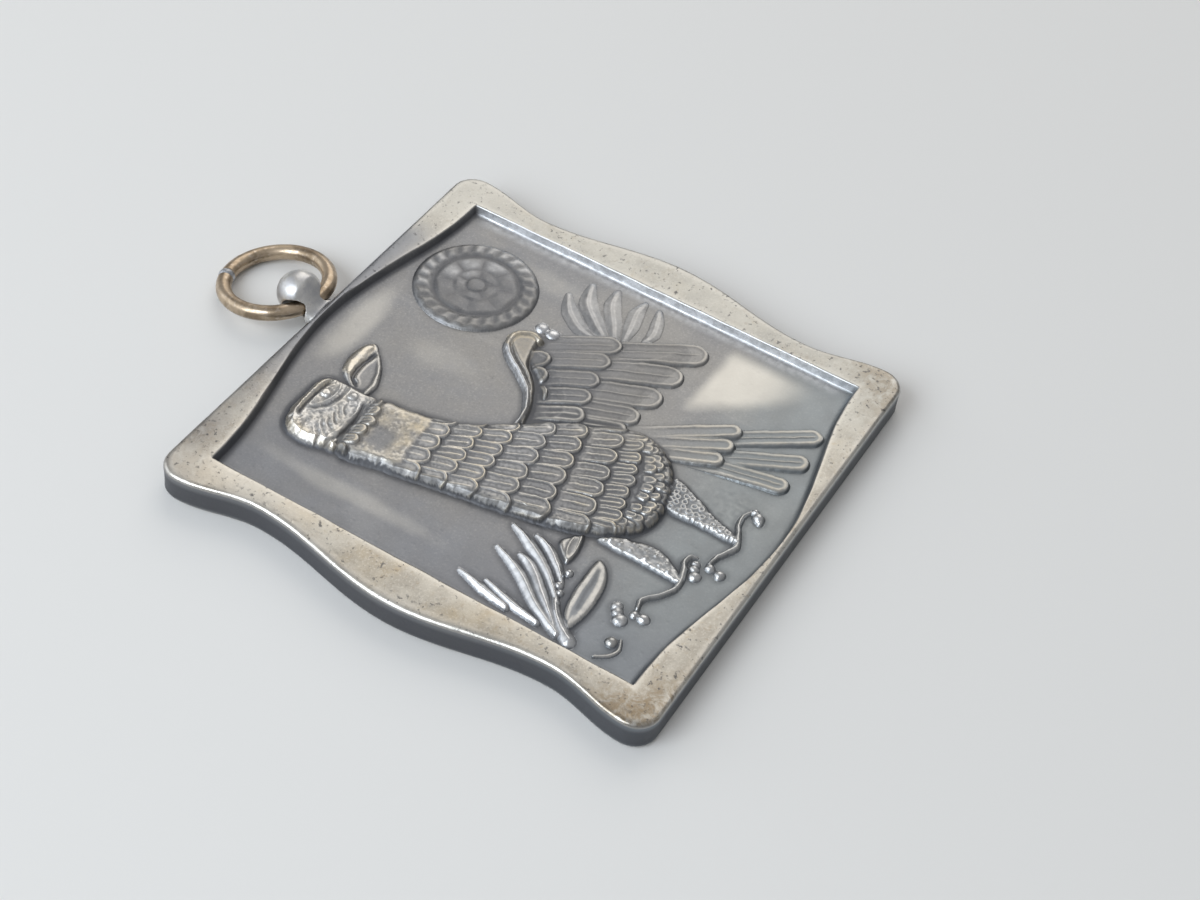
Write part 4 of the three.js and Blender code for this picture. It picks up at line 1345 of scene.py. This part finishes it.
def aged_silver():
    """The plaque: grey oxidised field, dark hollows, pale worn edges and rim, warm tarnish, with painted
    highlights, patches of painted reflection, and painted shade at the walls and sides.
    """
    n = Nodes("aged_silver")
    worn, oxide_and_shade, gold, bright, rough, rim, polish = (n.mark(name) for name in MARKS)
    broad = n.noise(0.009, 5, 0.6)
    patches = n.noise(0.0028, 5, 0.62)
    fine = n.noise(0.00045, 3, 0.6)
    scratches = n.noise(0.0011, 3, 0.6, stretch=(1.0, 0.06, 1.0))
    specks = n.noise(0.00016, 2, 0.5)

    field = n.blend(n.span(patches, 0.3, 0.75), (0.196, 0.202, 0.215), (0.286, 0.285, 0.289))
    across, up, away = n.from_middle()
    field = n.coats(
        field,
        (broad, 0.42, 0.7, 0.35, (0.33, 0.315, 0.285)),
        (scratches, 0.58, 0.8, 0.3, (0.38, 0.37, 0.36)),
        (specks, 0.5, 0.75, 0.22, (0.46, 0.45, 0.43)),
        (specks, 0.42, 0.22, 0.35, (0.15, 0.15, 0.155)),
        (up, -0.006, -0.015, 0.6, (0.235, 0.265, 0.28)),
        (across, -0.008, -0.0145, 0.45, (0.19, 0.205, 0.235)),
    )
    # Painted reflection patches: the field turns pale where that mark is set.
    polished = n.times(polish, n.span(patches, 0.2, 0.6, 0.75, 1.0))
    field = n.blend(polished, field, (0.66, 0.64, 0.59))
    edge = n.times(n.span(worn, 0.1, 0.8), n.span(fine, 0.25, 0.6, 0.55, 1.0))
    colour = n.blend(n.times(edge, 0.6), field, (0.62, 0.60, 0.56))
    # Painted highlights lift the colour towards pale bluish white.
    colour = n.blend(n.times(bright, n.span(fine, 0.3, 0.7, 0.5, 1.0)), colour, (0.70, 0.71, 0.73))
    warm = n.times(n.span(patches, 0.3, 0.65, 0.5, 0.9), n.span(fine, 0.3, 0.6, 0.5, 1.0))
    colour = n.blend(n.times(gold, warm), colour, (0.66, 0.58, 0.44))
    ring = n.blend(n.span(patches, 0.35, 0.68), (0.33, 0.31, 0.275), RIM_SILVER)
    stains = n.noise(0.0011, 6, 0.7, distortion=0.6)
    ring = n.coats(
        ring,
        (broad, 0.5, 0.72, 0.55, WARM_TARNISH),
        (worn, 0.4, 1.0, 0.75, WORN_SILVER),
        (stains, 0.56, 0.72, 0.4, WARM_TARNISH),
        (fine, 0.56, 0.72, 0.3, BROWN_TARNISH),
        (specks, 0.5, 0.75, 0.3, WORN_SILVER),
    )
    tarnish = n.times(n.span(away, 0.0225, 0.0262, 0, 0.8), n.span(stains, 0.35, 0.6))
    corner = n.math("ADD", across, up)
    ring = n.blend(n.times(tarnish, n.span(corner, 0.024, 0.033, 1.0, 0.0)), ring, BROWN_TARNISH)
    top = n.times(n.span(up, 0.0165, 0.0195), n.span(across, -0.012, -0.002, 0.35, 0.8))
    ring = n.blend(n.times(top, n.span(across, 0.0105, 0.0135, 1.0, 0.0)), ring, BLUE_GREY)
    left = n.times(n.span(across, -0.0155, -0.018), n.span(up, 0.004, 0.012, 0, 0.5))
    ring = n.blend(n.math("MAXIMUM", left, n.span(corner, 0.029, 0.035, 0, 0.25)), ring, WORN_SILVER)
    ring = n.blend(n.span(across, 0.005, 0.018, 0, 0.3), ring, (0.38, 0.41, 0.42))
    pits = n.times(n.span(n.noise(0.00035, 3, 0.6), 0.56, 0.66, 0, 0.8), n.span(stains, 0.42, 0.6))
    ring = n.blend(pits, ring, OXIDE_AND_SHADE)
    colour = n.blend(n.span(rim, 0.3, 0.85), colour, ring)
    # Oxide in the hollows darkens the colour, and so does painted shade at the wall's foot, under the top
    # wall, on the plate's sides and on its lower edge.
    colour = n.blend(n.times(n.span(oxide_and_shade, 0.08, 0.95), 0.75), colour, OXIDE_AND_SHADE)
    shine = n.span(patches, 0.25, 0.75, 0.34, 0.5)
    shine = n.math("SUBTRACT", shine, n.times(worn, 0.1))
    shine = n.math("ADD", shine, n.times(oxide_and_shade, 0.15))
    shine = n.math("ADD", shine, n.times(rough, 0.1), clamp=True)
    grain = n.bump(n.noise(0.00035, 3, 0.6), 0.00003, 0.35)
    pits = n.bump(n.span(n.cells(0.0009), 0.0, 0.25), 0.00003, 0.3, grain)
    lines = n.bump(scratches, 0.00002, 0.3, pits)
    return n.metal(colour, shine, lines, metallic=n.span(oxide_and_shade, 0.2, 1.0, 1.0, 0.75))


def bright_silver():
    """The eyelet: bright worn metal with grey tarnish in its scratches."""
    n = Nodes("bright_silver")
    patches, fine = n.noise(0.0012, 4, 0.6), n.noise(0.0003, 3, 0.6)
    colour = n.blend(n.span(patches, 0.35, 0.7), (0.52, 0.52, 0.53), (0.80, 0.785, 0.75))
    colour = n.blend(n.span(fine, 0.55, 0.75, 0, 0.5), colour, (0.3, 0.28, 0.25))
    grain = n.bump(n.noise(0.00025, 3, 0.6), 0.00003, 0.35)
    return n.metal(colour, n.span(patches, 0.3, 0.7, 0.46, 0.32), grain)


def solder():
    """Grey, slightly grainy solder."""
    n = Nodes("solder")
    patches = n.noise(0.0006, 4, 0.6)
    colour = n.blend(n.span(patches, 0.3, 0.7), (0.3, 0.31, 0.33), (0.56, 0.57, 0.59))
    grain = n.bump(n.noise(0.0003, 4, 0.6), 0.00006, 0.5)
    return n.metal(colour, n.span(patches, 0.3, 0.7, 0.5, 0.34), grain)


def bronze():
    """The ring: golden-brown wire, darker where the tarnish is thick."""
    n = Nodes("bronze")
    patches, fine = n.noise(0.0022, 4, 0.6), n.noise(0.0004, 3, 0.6)
    colour = n.blend(n.span(patches, 0.32, 0.62), (0.25, 0.19, 0.13), (0.55, 0.44, 0.32))
    # Pale pinkish specks of painted highlight on the wire.
    colour = n.blend(n.span(fine, 0.5, 0.75, 0, 0.55), colour, (0.72, 0.63, 0.53))
    grain = n.bump(n.noise(0.0004, 3, 0.6), 0.00003, 0.3)
    return n.metal(colour, n.span(fine, 0.3, 0.7, 0.42, 0.28), grain)


# ---------- stage, light and camera ----------


def build_floor():
    """A plain pale floor."""
    half, drop = 1.5, 0.00001
    corners = [(x * half, y * half, -drop) for x, y in ((-1, -1), (1, -1), (1, 1), (-1, 1))]
    floor = add_mesh("floor", corners, [(0, 1, 2, 3)])
    n = Nodes("pale_floor")
    n.put(n.shader.inputs["Base Color"], (0.74, 0.735, 0.72, 1))
    n.put(n.shader.inputs["Roughness"], 0.9)
    floor.data.materials.append(n.material)


def build_world():
    """Even pale surroundings, dimmer towards the horizon."""
    world = bpy.data.worlds.new("studio")
    world.use_nodes = True
    nodes, links = world.node_tree.nodes, world.node_tree.links
    background = nodes["Background"]
    place = nodes.new("ShaderNodeTexCoord")
    split = nodes.new("ShaderNodeSeparateXYZ")
    rise = nodes.new("ShaderNodeMapRange")
    links.new(place.outputs["Generated"], split.inputs[0])
    links.new(split.outputs["Z"], rise.inputs["Value"])
    for socket, value in zip(rise.inputs[1:5], (-0.1, 1.0, 0.25, 0.5)):
        socket.default_value = value
    links.new(rise.outputs[0], background.inputs["Strength"])
    background.inputs["Color"].default_value = (0.97, 0.98, 1.0, 1)
    bpy.context.scene.world = world


def softbox(name, direction, distance, size, power, colour):
    """A square area lamp that shines on the medal from a direction."""
    light = bpy.data.lights.new(name, "AREA")
    light.shape, light.size, light.energy, light.color = "SQUARE", size, power, colour
    lamp = bpy.data.objects.new(name, light)
    way = Vector(direction).normalized()
    lamp.location = way * distance
    lamp.rotation_mode = "QUATERNION"
    lamp.rotation_quaternion = way.to_track_quat("Z", "Y")
    bpy.context.scene.collection.objects.link(lamp)


def build_lights():
    softbox("key", (-0.78, 0.35, 0.66), 0.45, 0.30, 1.4, (0.86, 0.93, 1.0))
    softbox("far", (-0.28, 0.88, 0.38), 0.55, 0.40, 0.6, (0.90, 0.95, 1.0))
    softbox("back", (0.70, 0.24, 0.62), 0.55, 0.45, 0.83, (1.0, 0.96, 0.90))


def build_camera():
    """Looks down at the face from its lower left, as one holds a camera over a table."""
    aim = Vector((1.95, -3.64, 0.0)) * MM
    azimuth, elevation, roll = math.radians(-65.3), math.radians(46.5), math.radians(8.37)
    distance = 160.34 * MM
    level = math.cos(elevation)
    back = Vector((math.sin(azimuth) * level, -math.cos(azimuth) * level, math.sin(elevation)))
    data = bpy.data.cameras.new("camera")
    data.lens, data.sensor_width = 65.4, 36.0
    data.clip_start, data.clip_end = 0.01, 10.0
    camera = bpy.data.objects.new("camera", data)
    camera.rotation_mode = "QUATERNION"
    turn = (-back).to_track_quat("-Z", "Y").to_matrix().to_4x4() @ Matrix.Rotation(roll, 4, "Z")
    camera.rotation_quaternion = turn.to_quaternion()
    camera.location = aim + back * distance
    bpy.context.scene.collection.objects.link(camera)
    bpy.context.scene.camera = camera


# ---------- putting it together ----------


def finish_piece(piece, material, body, node=None):
    piece.data.materials.clear()
    piece.data.materials.append(material)
    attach(piece, body)
    if node:
        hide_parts(node)


build_camera()
metal = solder()
silver = aged_silver()
finish_piece(build_plaque(), silver, "medal", "plaque")
for name, code, low, high, spacing in (
    ("sun_disc", DISC, (4.2, 7.0), (14.9, 17.6), 0.07),
    ("leaves_left", LEAVES, (-16.6, -15.6), (-7.0, -1.6), 0.06),
    ("leaves_right", LEAVES, (7.6, -2.4), (16.5, 6.9), 0.07),
    ("bird_body", BODY, (-13.4, -18.2), (4.6, 16.9), 0.06),
    ("bird_wing_tail", FLIGHT, (-2.4, -18.4), (15.2, 8.2), 0.06),
):
    finish_piece(build_layer(name, code, low, high, spacing), silver, "medal")
finish_piece(build_eyelet(), bright_silver(), "medal", "ball_eyelet")
finish_piece(build_solder(), metal, "medal", "eyelet_solder")
finish_piece(build_ring(), bronze(), "ring", "jump_ring")
finish_piece(build_seam(), metal, "ring", "ring_solder")
build_floor()
build_world()
build_lights()

bpy.context.scene.view_settings.view_transform = "Standard"
